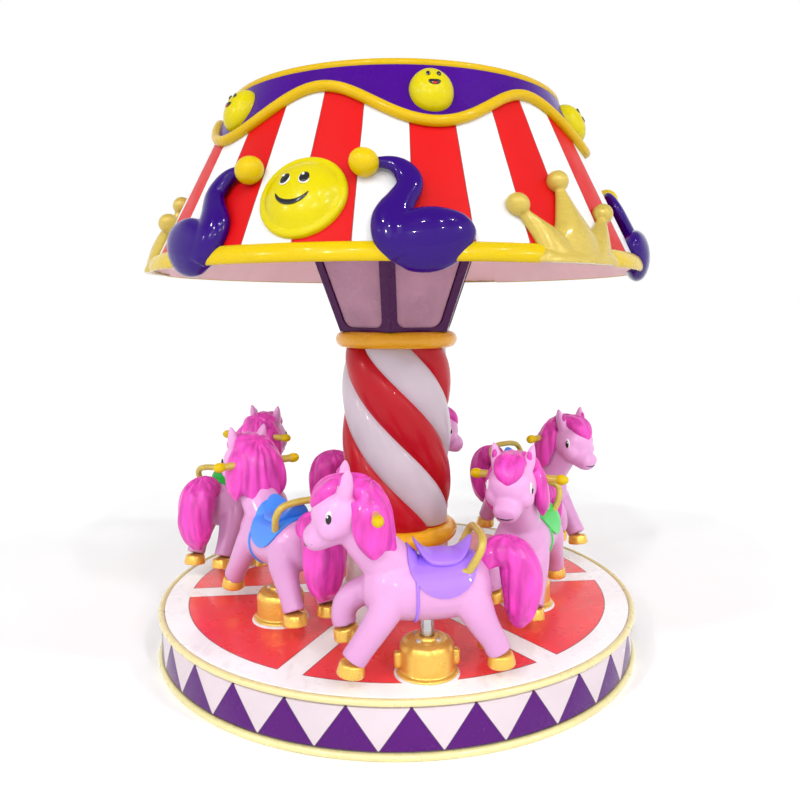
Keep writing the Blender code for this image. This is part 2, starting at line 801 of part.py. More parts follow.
def backrest_mesh(body):
    """A gold hoop standing on the pony's back, its feet cut to the back with the gap."""
    left = [Vector(point) for point in BACKREST]
    right = [Vector((p.x, -p.y, p.z)) for p in reversed(left)]
    tube = applied_mesh(tube_curve("backrest_path", left + right, BACKREST_RADIUS, detail=1), "tube")
    grown = body.copy()
    for vert, normal in zip(grown.vertices, [v.normal.copy() for v in body.vertices]):
        vert.co += normal * GAP * 2
    return boolean_mesh("backrest", tube, [("DIFFERENCE", grown)])


def build_ponies(pink, gold, steel):
    body = pony_mesh()
    body.materials.append(pink)
    backrest = backrest_mesh(body)
    backrest.materials.append(gold)
    handlebar = handlebar_mesh(HANDLEBAR_RADIUS, HANDLEBAR_REACH)
    handlebar.materials.append(gold)
    post = cylinder_mesh("post", POST_RADIUS, POST_BOTTOM, POST_TOP, POST_STEPS)
    post.materials.append(steel)
    pedestal = pedestal_mesh()
    pedestal.materials.append(gold)
    for index, degrees in enumerate(PONY_AZIMUTHS):
        azimuth = math.radians(degrees)
        place = polar(PONY_RINGS[index % 2], azimuth, DECK_TOP + PONY_LIFTS[index])
        number = index + 1
        lift = bpy.data.objects.new(f"pony_{number}_lift", None)
        PARTS.objects.link(lift)
        lift.location = place
        lift.rotation_euler.z = azimuth - math.pi / 2
        for piece, mesh in (("body", body), ("handlebar", handlebar), ("backrest", backrest), ("post", post)):
            add_object(f"pony_{number}_{piece}", mesh, parent=lift)
        stand = add_object(f"pedestal_{number}", pedestal)
        stand.location = (place.x, place.y, DECK_TOP + GAP)
        stand.rotation_euler.z = azimuth - math.pi / 2


def pedestal_mesh():
    flange = 0.016
    profile = [
        (PEDESTAL_BORE, PEDESTAL_HEIGHT),
        (PEDESTAL_RADIUS - 0.03, PEDESTAL_HEIGHT),
        (PEDESTAL_RADIUS - 0.006, PEDESTAL_HEIGHT - 0.012),
        (PEDESTAL_RADIUS, PEDESTAL_HEIGHT - 0.03),
        (PEDESTAL_RADIUS, flange),
        (PEDESTAL_FLANGE, flange),
        (PEDESTAL_FLANGE, 0.0),
        (PEDESTAL_BORE, 0.0),
    ]
    return turned_mesh("pedestal", profile, POST_STEPS)


clear_scene()
PARTS = new_collection("Fairground carousel")
CUTTERS = new_collection("Cutters", hidden=True)


def main():
    white = material("white_gelcoat", (0.9, 0.86, 0.88))
    gold = material("gold_paint", (0.85, 0.55, 0.12), 0.3)
    yellow = material("yellow_gelcoat", (1.0, 0.72, 0.0))
    red = material("red_gelcoat", (0.75, 0.02, 0.03))
    purple = material("purple_gelcoat", (0.08, 0.0, 0.3))
    mauve = material("mauve_panel", (0.55, 0.4, 0.48))
    pale = material("pale_ceiling", (0.8, 0.6, 0.62))
    pale_gold = material("pale_gold", (0.9, 0.65, 0.2), 0.3)
    pink = material("pink_gelcoat", (0.85, 0.4, 0.7))
    steel = material("post_steel", (0.7, 0.7, 0.72), 0.2, 1.0)
    build_base(white, gold)
    build_deck(white, gold)
    build_column(white, yellow, red)
    build_lantern(purple, mauve)
    canopy = canopy_empty()
    build_canopy(canopy, white, yellow, pale)
    cutter = canopy_cutter_mesh()
    build_valance(canopy, purple, yellow, cutter)
    build_faces(canopy, yellow, cutter)
    build_horns(canopy, purple, cutter)
    build_crowns(canopy, pale_gold, cutter)
    build_ponies(pink, gold, steel)


main()
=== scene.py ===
"""Small children's carousel: the finished pieces and their materials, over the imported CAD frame."""

import math

import bmesh
import bpy
from bpy.props import FloatProperty, FloatVectorProperty, IntProperty, PointerProperty
from mathutils import Matrix, Vector, noise


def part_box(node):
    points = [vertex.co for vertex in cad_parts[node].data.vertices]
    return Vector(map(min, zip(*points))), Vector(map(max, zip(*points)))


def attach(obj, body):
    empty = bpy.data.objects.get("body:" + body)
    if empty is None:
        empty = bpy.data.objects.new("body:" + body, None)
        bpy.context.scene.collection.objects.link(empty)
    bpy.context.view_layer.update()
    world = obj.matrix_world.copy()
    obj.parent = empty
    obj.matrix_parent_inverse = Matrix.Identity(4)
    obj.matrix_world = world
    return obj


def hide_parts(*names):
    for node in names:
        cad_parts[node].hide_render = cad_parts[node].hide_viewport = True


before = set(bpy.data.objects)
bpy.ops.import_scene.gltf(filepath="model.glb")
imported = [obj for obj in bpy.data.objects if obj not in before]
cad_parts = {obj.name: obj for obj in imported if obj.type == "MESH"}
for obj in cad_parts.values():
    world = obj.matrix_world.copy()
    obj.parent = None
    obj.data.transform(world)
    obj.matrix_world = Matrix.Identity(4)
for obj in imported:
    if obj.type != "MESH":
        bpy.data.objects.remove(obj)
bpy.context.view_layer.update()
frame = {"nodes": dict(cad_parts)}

bl_info = {
    "name": "Fairground carousel",
    "version": (1, 0, 0),
    "blender": (4, 5, 0),
    "location": "3D View > Sidebar > Carousel",
    "description": "Builds a small children's carousel with six lifting ponies",
    "category": "Add Mesh",
}

MERGE = 0.0001

# Sizes read from the frame, in metres
BASE_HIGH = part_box("base_drum")[1]
DECK_LOW, DECK_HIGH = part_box("deck")
DECK_BEAD_LOW, DECK_BEAD_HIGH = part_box("deck_bead")
PLINTH_LOW, PLINTH_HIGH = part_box("column_plinth")
LOWER_COLLAR_LOW, LOWER_COLLAR_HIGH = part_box("lower_collar")
UPPER_COLLAR_LOW, UPPER_COLLAR_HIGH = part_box("upper_collar")
LANTERN_LOW, LANTERN_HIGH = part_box("lantern_frame")
SHELL_LOW, SHELL_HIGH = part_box("canopy_shell")
CEILING_LOW, CEILING_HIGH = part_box("canopy_ceiling")
ROOF_LOW, ROOF_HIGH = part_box("canopy_roof")
TOP_RING_LOW, TOP_RING_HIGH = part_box("top_ring")
POST_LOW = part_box("pony_1_post")[0]

# The canopy is a cone: its outer radius at one height, and how fast it narrows upwards
CONE_Z = 2.291
CONE_RADIUS = 0.807
CONE_SLOPE = 0.485
CONE_LENGTH = math.hypot(1.0, CONE_SLOPE)
WALL = 0.012

# Turns about the axis: the first face, then from face to face, and from a face to its horns and its crown
CANOPY_TURN = math.radians(-109)
ORNAMENT_TURN = math.radians(120)
HORN_TURNS = {1: math.radians(23.7), -1: math.radians(24.9)}
CROWN_TURN = math.radians(56.5)
WAVE_LOW_TURN = CANOPY_TURN + math.radians(28.3)
WAVE_LOBES = 6

# The horns at the front hang low, the others sit higher, and all are a little shallower than they are drawn
LOW_HORNS = (1, 2, 4)
HORN_RISE = 0.043
HORN_DEPTH = 0.92

# The rim bar's height, how far it stops short of a crown, and how much thicker the top ring is than in CAD
BAR_Z = 1.7245
BAR_GAP = math.radians(8.6)
RING_SWELL = 0.004

# Where the painted patterns and the twist start
STRIPE_TURN = math.radians(-103.69)
TRIANGLE_TURN = math.radians(-147.4)
SECTOR_TURN = math.radians(-54)
SECTOR = math.radians(60)
TOP_CREASE = math.radians(-133)

# The lantern: its turn, its radius at the foot and at the head, and how far its windows reach down
LANTERN_TURN = math.radians(-6)
LANTERN_FOOT = 0.281
LANTERN_HEAD = 0.458
LANTERN_DROP = 0.022

# The ponies in order: degrees round the deck, the outer and the inner ring in turn, and heights at rest
PONY_AZIMUTHS = (-83, -142, 159, 96, 36, -22)
PONY_RINGS = (0.89, 0.632)
PONY_LIFTS = (0.045, 0.07, 0.065, 0.09, 0.085, 0.045)
CLOTH_COLOURS = ("violet", "blue", "green", "violet", "blue", "green")


def length(name, description, default):
    return FloatProperty(name=name, description=description, default=default, unit="LENGTH")


class BaseSizes(bpy.types.PropertyGroup):
    bead: length("Bead", "Radius of the round beads", 0.0137)
    triangle_low: length("Triangle foot", "Height of the triangles' feet", 0.03)
    triangle_high: length("Triangle tip", "Height of the triangles' tips", 0.188)
    triangles: IntProperty(name="Triangles", description="Triangles round the skirt", default=30, min=6)
    sector_radius: length("Sector radius", "Outer radius of the red sectors", 0.963)
    spoke: length("Spoke", "Width of the white spokes", 0.11)


class ColumnSizes(bpy.types.PropertyGroup):
    radius: length("Radius", "Largest radius of the twisted column", 0.257)
    crease: length("Crease", "Depth of the creases between lobes", 0.026)
    lobes: IntProperty(name="Lobes", description="Twisted lobes, red and white in turn", default=6, min=2)
    twist: FloatProperty(
        name="Twist",
        description="Turn from bottom to top",
        default=math.radians(206),
        subtype="ANGLE",
    )
    post: length("Post", "Half width of the lantern's posts", 0.04)
    frame: length("Frame", "Thickness of the lantern's frame", 0.016)


class CanopySizes(bpy.types.PropertyGroup):
    stripes: IntProperty(name="Stripes", description="Red stripes round the canopy", default=16, min=2)
    bar_height: length("Bar height", "Half height of the rim bar", 0.0365)
    bar_depth: length("Bar depth", "How far the rim bar stands out", 0.021)
    wave_z: length("Wave", "Middle height of the valance's wave", 2.277)
    wave_height: length("Wave height", "Half height of the wave", 0.077)
    wave_bead: length("Wave bead", "Radius of the bead on the wave", 0.021)
    dome: length("Dome", "Radius of the valance's domes", 0.0825)
    dome_z: length("Dome height", "Height of the domes' centres", 2.32)
    face_z: length("Face height", "Height of the faces' centres", 1.916)
    horn_z: length("Horn height", "Height the horns are measured from", 1.715)
    crown_z: length("Crown height", "Height the crowns are measured from", 1.72)
    grain: length("Grain", "Voxel size that fuses the ornaments", 0.0042)


class PonySizes(bpy.types.PropertyGroup):
    grain: length("Grain", "Voxel size that fuses a pony", 0.0062)
    strand: length("Strand", "Depth of the grooves in the hair", 0.0035)
    post: length("Post", "Radius of the lifting post", 0.025)
    handlebar: length("Handlebar", "Radius of the handlebar", 0.018)
    reach: length("Reach", "Half length of the handlebar", 0.21)
    pedestal: length("Pedestal", "Radius of a pedestal", 0.1)
    pedestal_height: length("Pedestal height", "Height of a pedestal", 0.13)


def colour(name, description, red, green, blue):
    return FloatVectorProperty(
        name=name,
        description=description,
        default=(red, green, blue),
        min=0.0,
        max=1.0,
        subtype="COLOR",
    )


class CarouselColours(bpy.types.PropertyGroup):
    white: colour("White", "White gelcoat", 0.74, 0.73, 0.735)
    skirt_white: colour("Skirt white", "Faintly pink white of the skirt", 0.63, 0.54, 0.585)
    # Deck white: a lighter copy of the white gelcoat, as painted light that makes up for the canopy's shade
    # on the deck
    deck_lit_white: colour("Deck white", "Clean white of the deck", 0.93, 0.93, 0.93)
    # Column white: a darker, pinker copy of the white gelcoat, as painted shade from the canopy with painted
    # pink bounce light
    column_shaded_white: colour("Column white", "Pinkish white of the column", 0.56, 0.5, 0.56)
    red: colour("Red", "Red of the canopy's stripes", 0.58, 0.004, 0.005)
    # Column red: a darker copy of the canopy's red, as painted shade from the canopy
    column_shaded_red: colour("Column red", "Deeper red of the column", 0.47, 0.003, 0.012)
    deck_red: colour("Deck red", "Red of the deck's sectors", 0.88, 0.05, 0.06)
    violet: colour("Violet", "Deep violet of the horns", 0.024, 0.0, 0.155)
    valance: colour("Valance violet", "Brighter violet of the valance", 0.052, 0.0, 0.21)
    skirt: colour("Skirt violet", "Violet of the skirt's triangles", 0.08, 0.002, 0.15)
    yellow: colour("Yellow", "Bright yellow of the rim bar and the horns' balls", 0.63, 0.44, 0.0)
    lemon: colour("Lemon", "Lemon yellow of the faces and domes", 0.585, 0.49, 0.0)
    bead: colour("Bead yellow", "Warm yellow of the valance's bead", 0.6, 0.38, 0.0)
    collar: colour("Collar gold", "Warm gold of the collars", 0.83, 0.41, 0.01)
    cream: colour("Cream gold", "Pale gold of the base's beads", 0.8, 0.7, 0.34)
    crown: colour("Crown gold", "Pale gold of the crowns", 0.57, 0.42, 0.07)
    gold: colour("Gold", "Gold paint of the hooves and pedestals", 0.86, 0.52, 0.09)
    panel: colour("Panel", "Mauve white of the lantern's panels", 0.375, 0.19, 0.265)
    frame: colour("Frame", "Dark purple of the lantern's frame", 0.062, 0.004, 0.068)
    ceiling: colour("Ceiling", "Pale pink of the canopy's inside", 0.97, 0.72, 0.73)
    pink: colour("Pony pink", "Pink of the ponies' bodies", 0.65, 0.31, 0.58)
    hair: colour("Hair pink", "Strong pink of the manes and tails", 0.76, 0.055, 0.47)
    blue: colour("Cloth blue", "Blue saddle cloth", 0.05, 0.24, 0.82)
    green: colour("Cloth green", "Green saddle cloth", 0.05, 0.6, 0.1)
    lilac: colour("Cloth violet", "Violet saddle cloth", 0.36, 0.17, 0.85)
    ink: colour("Ink", "Dark paint of eyes and mouths", 0.012, 0.012, 0.014)


# Materials
class Paint:
    """A material being made: its node tree, and short ways to add the nodes these finishes use."""

    def __init__(self, name, coat=0.3, metallic=0.0, specular=0.3):
        self.material = bpy.data.materials.new(name)
        self.material.use_nodes = True
        self.tree = self.material.node_tree
        self.shader = self.tree.nodes["Principled BSDF"]
        self.shader.inputs["Coat Weight"].default_value = coat
        self.shader.inputs["Coat Roughness"].default_value = 0.05
        self.shader.inputs["Specular IOR Level"].default_value = specular
        self.shader.inputs["Metallic"].default_value = metallic
        self.place = self.node("ShaderNodeTexCoord").outputs["Object"]

    def node(self, kind, inputs=None, **settings):
        made = self.tree.nodes.new(kind)
        for name, value in settings.items():
            setattr(made, name, value)
        for key, value in (inputs or {}).items():
            if isinstance(value, bpy.types.NodeSocket):
                self.tree.links.new(value, made.inputs[key])
            else:
                made.inputs[key].default_value = value
        return made

    def math(self, operation, first, second=0.0):
        return self.node("ShaderNodeMath", {0: first, 1: second}, operation=operation).outputs[0]

    def noise(self, scale, detail=2.0, place=None):
        inputs = {"Vector": place or self.place, "Scale": scale, "Detail": detail}
        return self.node("ShaderNodeTexNoise", inputs).outputs["Fac"]

    def ease(self, value, low, high, start=0.0, end=1.0):
        inputs = {"Value": value, "From Min": low, "From Max": high, "To Min": start, "To Max": end}
        return self.node("ShaderNodeMapRange", inputs).outputs["Result"]

    def blend(self, amount, first, second):
        inputs = {0: amount, 6: first, 7: second}
        return self.node("ShaderNodeMix", inputs, data_type="RGBA").outputs[2]

    def stretched(self, scale, turn=(0.0, 0.0, 0.0)):
        inputs = {"Vector": self.place, "Scale": scale, "Rotation": turn}
        return self.node("ShaderNodeMapping", inputs).outputs["Vector"]

    def azimuth(self):
        """The turn about the vertical axis, from -pi to pi, and the X, Y and Z that it came from."""
        parts = self.node("ShaderNodeSeparateXYZ", {0: self.place}).outputs
        return self.math("ARCTAN2", parts["Y"], parts["X"]), parts

    def from_middle(self, turn, middle, across):
        """How far a turn is from the nearest middle of a repeat: 0 there, 0.5 half way to the next."""
        well_before = middle - across * 50
        counted = self.math("DIVIDE", self.math("SUBTRACT", turn, well_before), across)
        part = self.math("FRACT", self.math("ADD", counted, 0.5))
        return self.math("ABSOLUTE", self.math("SUBTRACT", part, 0.5))

    def surface(self, tint, gloss=0.18, dust=0.07, ripple=0.25, grain=0.12, extra=None):
        """Brushed and sprayed gelcoat: clouds in the colour, worn patches in the gloss, and ripples."""
        clouds = self.noise(2.1, 4.0)
        smear = self.noise(13.0, 5.0)
        value = self.ease(clouds, 0.3, 0.7, 1.0 - dust, 1.0 + dust * 0.35)
        value = self.math("MULTIPLY", value, self.ease(smear, 0.3, 0.75, 1.0, 1.0 - dust * 0.45))
        toned = self.node("ShaderNodeHueSaturation", {"Value": value, "Color": tint})
        self.tree.links.new(toned.outputs["Color"], self.shader.inputs["Base Color"])
        worn = self.ease(smear, 0.35, 0.7, gloss, gloss + 0.09)
        scuffs = self.ease(self.noise(95.0, 3.0), 0.62, 0.78, 0.0, 0.12)
        self.tree.links.new(self.math("ADD", worn, scuffs), self.shader.inputs["Roughness"])
        wide = self.noise(5.5, 2.0)
        height = {"Height": wide, "Strength": ripple, "Distance": 0.004}
        bump = self.node("ShaderNodeBump", height).outputs["Normal"]
        peel = {"Height": self.noise(210.0, 2.0), "Strength": grain, "Distance": 0.0006, "Normal": bump}
        bump = self.node("ShaderNodeBump", peel).outputs["Normal"]
        if extra is not None:
            bump = self.node("ShaderNodeBump", {**extra, "Normal": bump}).outputs["Normal"]
        self.tree.links.new(bump, self.shader.inputs["Normal"])
        return self.material


def shade(value, strength=1.0):
    """A property's colour as a shader colour, darkened by a strength below one."""
    return (value[0] * strength, value[1] * strength, value[2] * strength, 1.0)


def painted(name, value, coat=0.3, specular=0.3, **surface):
    """One gelcoat colour with its natural unevenness."""
    name = f"{name}_finish"
    known = bpy.data.materials.get(name)
    return known or Paint(name, coat, specular=specular).surface(shade(value), **surface)


def white_gelcoat(colours):
    return painted("white_gelcoat", colours.white, gloss=0.2)


def rim_yellow(colours):
    return painted("rim_yellow", colours.yellow, gloss=0.22, dust=0.06, coat=0.15, specular=0.15)


def bead_yellow(colours):
    return painted("bead_yellow", colours.bead, gloss=0.22, dust=0.06, coat=0.15, specular=0.15)


def face_lemon(colours):
    return painted("face_lemon", colours.lemon, gloss=0.22, dust=0.05, coat=0.12, specular=0.15)


def ink_paint(colours):
    return painted("ink_paint", colours.ink, gloss=0.15, dust=0.2)


def striped_paint(colours, sizes):
    """Canopy stripes: red and white in turn, each with a thin dark outline."""
    paint = Paint("canopy_stripes_finish", 0.0, specular=0.15)
    turn = paint.azimuth()[0]
    across = 2 * math.pi / sizes.stripes
    spread = paint.from_middle(turn, STRIPE_TURN, across)
    wobble = paint.ease(paint.noise(7.0, 2.0), 0.0, 1.0, -0.006, 0.006)
    spread = paint.math("ADD", spread, wobble)
    red = paint.ease(spread, 0.2485, 0.2515, 1.0, 0.0)
    line = paint.ease(paint.math("ABSOLUTE", paint.math("SUBTRACT", spread, 0.25)), 0.003, 0.0075, 0.75, 0.0)
    tint = paint.blend(red, shade(colours.white), shade(colours.red))
    tint = paint.blend(line, tint, shade(colours.red, 0.22))
    return paint.surface(tint, gloss=0.36, dust=0.04, ripple=0.4)


def skirt_paint(colours, sizes):
    """White skirt with violet triangles standing on its lower edge."""
    paint = Paint("skirt_triangles_finish", 0.2, specular=0.15)
    turn, parts = paint.azimuth()
    spread = paint.from_middle(turn, TRIANGLE_TURN, 2 * math.pi / sizes.triangles)
    tall = sizes.triangle_high - sizes.triangle_low
    height = paint.math("DIVIDE", paint.math("SUBTRACT", parts["Z"], sizes.triangle_low), tall)
    side = paint.math("MULTIPLY", paint.math("SUBTRACT", 1.0, height), 0.495)
    inside = paint.math("MINIMUM", paint.math("SUBTRACT", side, spread), paint.math("MULTIPLY", height, 0.6))
    filled = paint.ease(inside, -0.004, 0.004)
    line = paint.ease(paint.math("ABSOLUTE", inside), 0.006, 0.014, 0.8, 0.0)
    tint = paint.blend(filled, shade(colours.skirt_white), shade(colours.skirt))
    tint = paint.blend(line, tint, shade(colours.skirt, 0.3))
    return paint.surface(tint, gloss=0.2, dust=0.08, ripple=0.3)


def deck_paint(colours, sizes):
    """White deck with six red sectors between straight spokes, scuffed by shoes."""
    paint = Paint("deck_sectors_finish", 0.2)
    turn, parts = paint.azimuth()
    flat = paint.node("ShaderNodeCombineXYZ", {0: parts["X"], 1: parts["Y"]}).outputs[0]
    radius = paint.node("ShaderNodeVectorMath", {0: flat}, operation="LENGTH").outputs["Value"]
    beside = paint.math("MULTIPLY", paint.from_middle(turn, SECTOR_TURN, SECTOR), SECTOR)
    off_spoke = paint.math("MULTIPLY", paint.math("SINE", beside), radius)
    inside = paint.math("SUBTRACT", off_spoke, sizes.spoke / 2)
    inside = paint.math("MINIMUM", inside, paint.math("SUBTRACT", sizes.sector_radius, radius))
    filled = paint.ease(inside, -0.0008, 0.0008)
    line = paint.ease(paint.math("ABSOLUTE", inside), 0.0015, 0.0035, 0.8, 0.0)
    # The deck's white is lighter than the white gelcoat: painted light in place of what the canopy shades
    # off
    tint = paint.blend(filled, shade(colours.deck_lit_white), shade(colours.deck_red))
    tint = paint.blend(line, tint, shade(colours.deck_red, 0.2))
    shoes = paint.ease(paint.noise(22.0, 6.0, paint.stretched((1.0, 0.35, 1.0))), 0.58, 0.74, 0.0, 0.16)
    tint = paint.blend(shoes, tint, (0.3, 0.25, 0.25, 1.0))
    speckle = {"Height": paint.noise(420.0, 2.0), "Strength": 0.35, "Distance": 0.0005}
    return paint.surface(tint, gloss=0.26, dust=0.08, ripple=0.15, extra=speckle)


def hair_paint(colours):
    """Moulded hair: bumped ridges that run with the strands, with painted shade in the grooves and painted
    highlight on the ridges.
    """
    paint = Paint("hair_pink_finish", 0.25)
    place = paint.node("ShaderNodeAttribute", attribute_name="pony_place").outputs["Vector"]
    along = paint.node("ShaderNodeMapping", {"Vector": place, "Scale": (34.0, 46.0, 5.0)})
    strand_ridges = paint.noise(1.0, 3.0, along.outputs["Vector"])
    # Darker where the ridges are low and lighter where they are high: painted shade in the grooves and
    # painted highlight on the ridges
    tint = paint.blend(paint.ease(strand_ridges, 0.36, 0.66), shade(colours.hair, 0.72), shade(colours.hair, 1.12))
    groove = {"Height": strand_ridges, "Strength": 0.5, "Distance": 0.003}
    return paint.surface(tint, gloss=0.34, dust=0.08, ripple=0.2, extra=groove)


def pony_paint(colours):
    """Sprayed pony pink that turns lighter with height, darker low on the legs and paler towards the top."""
    paint = Paint("pony_pink_finish", 0.3)
    place = paint.node("ShaderNodeAttribute", attribute_name="pony_place").outputs["Vector"]
    height = paint.node("ShaderNodeSeparateXYZ", {0: place}).outputs[2]
    pale = tuple(min(1.0, c * 1.12) for c in shade(colours.pink)[:3]) + (1.0,)
    tint = paint.blend(paint.ease(height, 0.05, 0.6), shade(colours.pink, 0.9), pale)
    return paint.surface(tint, gloss=0.32, dust=0.09, ripple=0.3)


def worn_gold(name, value, metallic=0.6):
    """Gold paint with brush marks, rubbed a little darker in patches."""
    name = f"{name}_finish"
    known = bpy.data.materials.get(name)
    if known:
        return known
    paint = Paint(name, 0.4, metallic)
    brush = paint.noise(30.0, 4.0, paint.stretched((1.0, 1.0, 6.0)))
    tint = paint.blend(paint.ease(brush, 0.35, 0.7), shade(value), shade(value, 0.9))
    marks = {"Height": brush, "Strength": 0.08, "Distance": 0.001}
    return paint.surface(tint, gloss=0.26, dust=0.08, ripple=0.2, extra=marks)


def polished_steel():
    """Bright post with fine turned rings and oil smears."""
    paint = Paint("post_steel_finish", 0.0, 1.0)
    rings = paint.noise(9.0, 3.0, paint.stretched((2.0, 2.0, 90.0)))
    tint = paint.blend(paint.ease(rings, 0.4, 0.65), (0.62, 0.62, 0.64, 1.0), (0.5, 0.49, 0.5, 1.0))
    marks = {"Height": rings, "Strength": 0.15, "Distance": 0.0004}
    return paint.surface(tint, gloss=0.17, dust=0.1, ripple=0.05, extra=marks)


def panel_paint(colours):
    """Milky acrylic with faint mottling."""
    paint = Paint("lantern_acrylic_finish", 0.2)
    clouds = paint.noise(6.0, 5.0)
    tint = paint.blend(paint.ease(clouds, 0.35, 0.7), shade(colours.panel), shade(colours.panel, 1.3))
    paint.shader.inputs["Transmission Weight"].default_value = 0.0
    paint.shader.inputs["Subsurface Weight"].default_value = 0.15
    return paint.surface(tint, gloss=0.22, dust=0.06, ripple=0.2)


# Shapes
def polar(radius, turn, z=0.0):
    return Vector((radius * math.cos(turn), radius * math.sin(turn), z))


def cone_radius(z):
    """Outer radius of the canopy's shell at a height."""
    return CONE_RADIUS + CONE_SLOPE * (CONE_Z - z)


def on_slope(right, up, out, z, turn):
    """A point on the canopy: right round the shell, up its slope and out from it."""
    foot = cone_radius(z) - CONE_SLOPE * up / CONE_LENGTH
    height = z + (up + CONE_SLOPE * out) / CONE_LENGTH
    return polar(foot + out / CONE_LENGTH, turn + right / foot, height)


def wrap(bm, z, turn):
    """Lay a shape that was modelled flat, as right, up and out, on the canopy's slope."""
    for vert in bm.verts:
        vert.co = on_slope(*vert.co, z, turn)


def stay_in_wall(bm, z, edge, depth=0.006):
    """Pull in what would come through the shell's wall, above the height of the given edge."""
    for vert in bm.verts:
        height = z + (vert.co.y + CONE_SLOPE * vert.co.z) / CONE_LENGTH
        if height > edge and vert.co.z < -depth:
            vert.co.z = -depth


def as_mesh(bm, name="pattern"):
    """A shape's mesh. The shape itself is freed."""
    mesh = bpy.data.meshes.new(name)
    bm.to_mesh(mesh)
    bm.free()
    return mesh


def linked(name, data):
    """A new object in the scene, at the origin."""
    made = bpy.data.objects.new(name, data)
    bpy.context.scene.collection.objects.link(made)
    return made


def piece(name, shape, finishes, body, slot, *nodes, sharp=38.0):
    """A finished piece with its materials, the body it rides on and the CAD nodes it stands for."""
    mesh = as_mesh(shape) if isinstance(shape, bmesh.types.BMesh) else shape
    mesh.name = name
    for finish in finishes:
        mesh.materials.append(finish)
    mesh.shade_smooth()
    mesh.set_sharp_from_angle(angle=math.radians(sharp))
    made = linked(name, mesh)
    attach(made, body)
    if nodes:
        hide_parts(*nodes)


def worked(shape, *steps):
    """The shape's mesh with modifiers applied, each given as its type and its settings."""
    mesh = as_mesh(shape, "guide")
    guide = linked("guide", mesh)
    for kind, settings in steps:
        modifier = guide.modifiers.new(kind.lower(), kind)
        for name, value in settings.items():
            setattr(modifier, name, value)
    graph = bpy.context.evaluated_depsgraph_get()
    finished = bpy.data.meshes.new_from_object(guide.evaluated_get(graph))
    bpy.data.objects.remove(guide)
    bpy.data.meshes.remove(mesh)
    return finished


def fused(shape, grain, passes):
    """Overlapping closed forms made one skin, then smoothed."""
    remesh = ("REMESH", {"mode": "VOXEL", "voxel_size": grain, "adaptivity": 0.0})
    ease = ("SMOOTH", {"factor": 0.5, "iterations": passes})
    bm = bmesh.new()
    bm.from_mesh(worked(shape, remesh, ease))
    return bm


def joined(bm, other, material_index=0, place=None):
    """Add another shape's faces to this one, with their material, and free the other."""
    for face in other.faces:
        face.material_index = material_index
    mesh = as_mesh(other, "addition")
    if place is not None:
        mesh.transform(place)
    bm.from_mesh(mesh)
    bpy.data.meshes.remove(mesh)
    return bm


def closed_up(bm):
    """Close the seams and poles, and point the faces outwards."""
    bmesh.ops.remove_doubles(bm, verts=bm.verts, dist=MERGE)
    bmesh.ops.recalc_face_normals(bm, faces=bm.faces)
    return bm


def turned(points, steps=144, loop=False):
    """A profile of (radius, height) points turned once round the vertical axis."""
    bm = bmesh.new()
    verts = [bm.verts.new((radius, 0.0, z)) for radius, z in points]
    pairs = list(zip(verts, verts[1:]))
    if loop:
        pairs.append((verts[-1], verts[0]))
    edges = [bm.edges.new(pair) for pair in pairs]
    bmesh.ops.spin(
        bm,
        geom=verts + edges,
        cent=(0.0, 0.0, 0.0),
        axis=(0.0, 0.0, 1.0),
        angle=2 * math.pi,
        steps=steps,
        use_merge=True,
    )
    return closed_up(bm)


def ring_bead(radius, z, wide, high=None, steps=144, around=16):
    """A round bead that runs right round the axis."""
    high = high or wide
    points = []
    for index in range(around):
        angle = 2 * math.pi * index / around
        points.append((radius + wide * math.cos(angle), z + high * math.sin(angle)))
    return turned(points, steps, loop=True)


def rounded(points, radius, steps=4):
    """The same open profile with each inner corner eased off."""
    eased = [Vector(points[0])]
    for before, corner, after in zip(points, points[1:], points[2:]):
        before, corner, after = Vector(before), Vector(corner), Vector(after)
        reach_in = min(radius, (before - corner).length * 0.45)
        reach_out = min(radius, (after - corner).length * 0.45)
        start = corner + (before - corner).normalized() * reach_in
        end = corner + (after - corner).normalized() * reach_out
        for step in range(steps + 1):
            share = step / steps
            eased.append((1 - share) ** 2 * start + 2 * share * (1 - share) * corner + share**2 * end)
    eased.append(Vector(points[-1]))
    return [tuple(point) for point in eased]


def ring_edges(bm, ring):
    return [bm.edges.get(pair) for pair in zip(ring, ring[1:] + ring[:1])]


def next_ring(bm, ring):
    """Extrude a ring of edges and give the new ring's vertices in the same order."""
    made = bmesh.ops.extrude_edge_only(bm, edges=ring_edges(bm, ring))["geom"]
    fresh = {item for item in made if isinstance(item, bmesh.types.BMVert)}
    new_ring = []
    for vert in ring:
        new_ring += [edge.other_vert(vert) for edge in vert.link_edges if edge.other_vert(vert) in fresh]
    return new_ring


def eased_run(stations, between):
    """Stations with more put between them on a smooth line. Each is (centre, half width, half height)."""
    rows = [Vector((*centre, wide, high)) for centre, wide, high in stations]
    rows = [rows[0]] + rows + [rows[-1]]
    run = []
    for before, start, end, after in zip(rows, rows[1:], rows[2:], rows[3:]):
        for step in range(between):
            t = step / between
            bend = (2 * before - 5 * start + 4 * end - after) * t * t
            bend += (3 * start - before - 3 * end + after) * t**3
            run.append(start + ((end - before) * t + bend) * 0.5)
    run.append(rows[-1])
    return [(Vector(row[:3]), max(row[3], 0.001), max(row[4], 0.001)) for row in run]


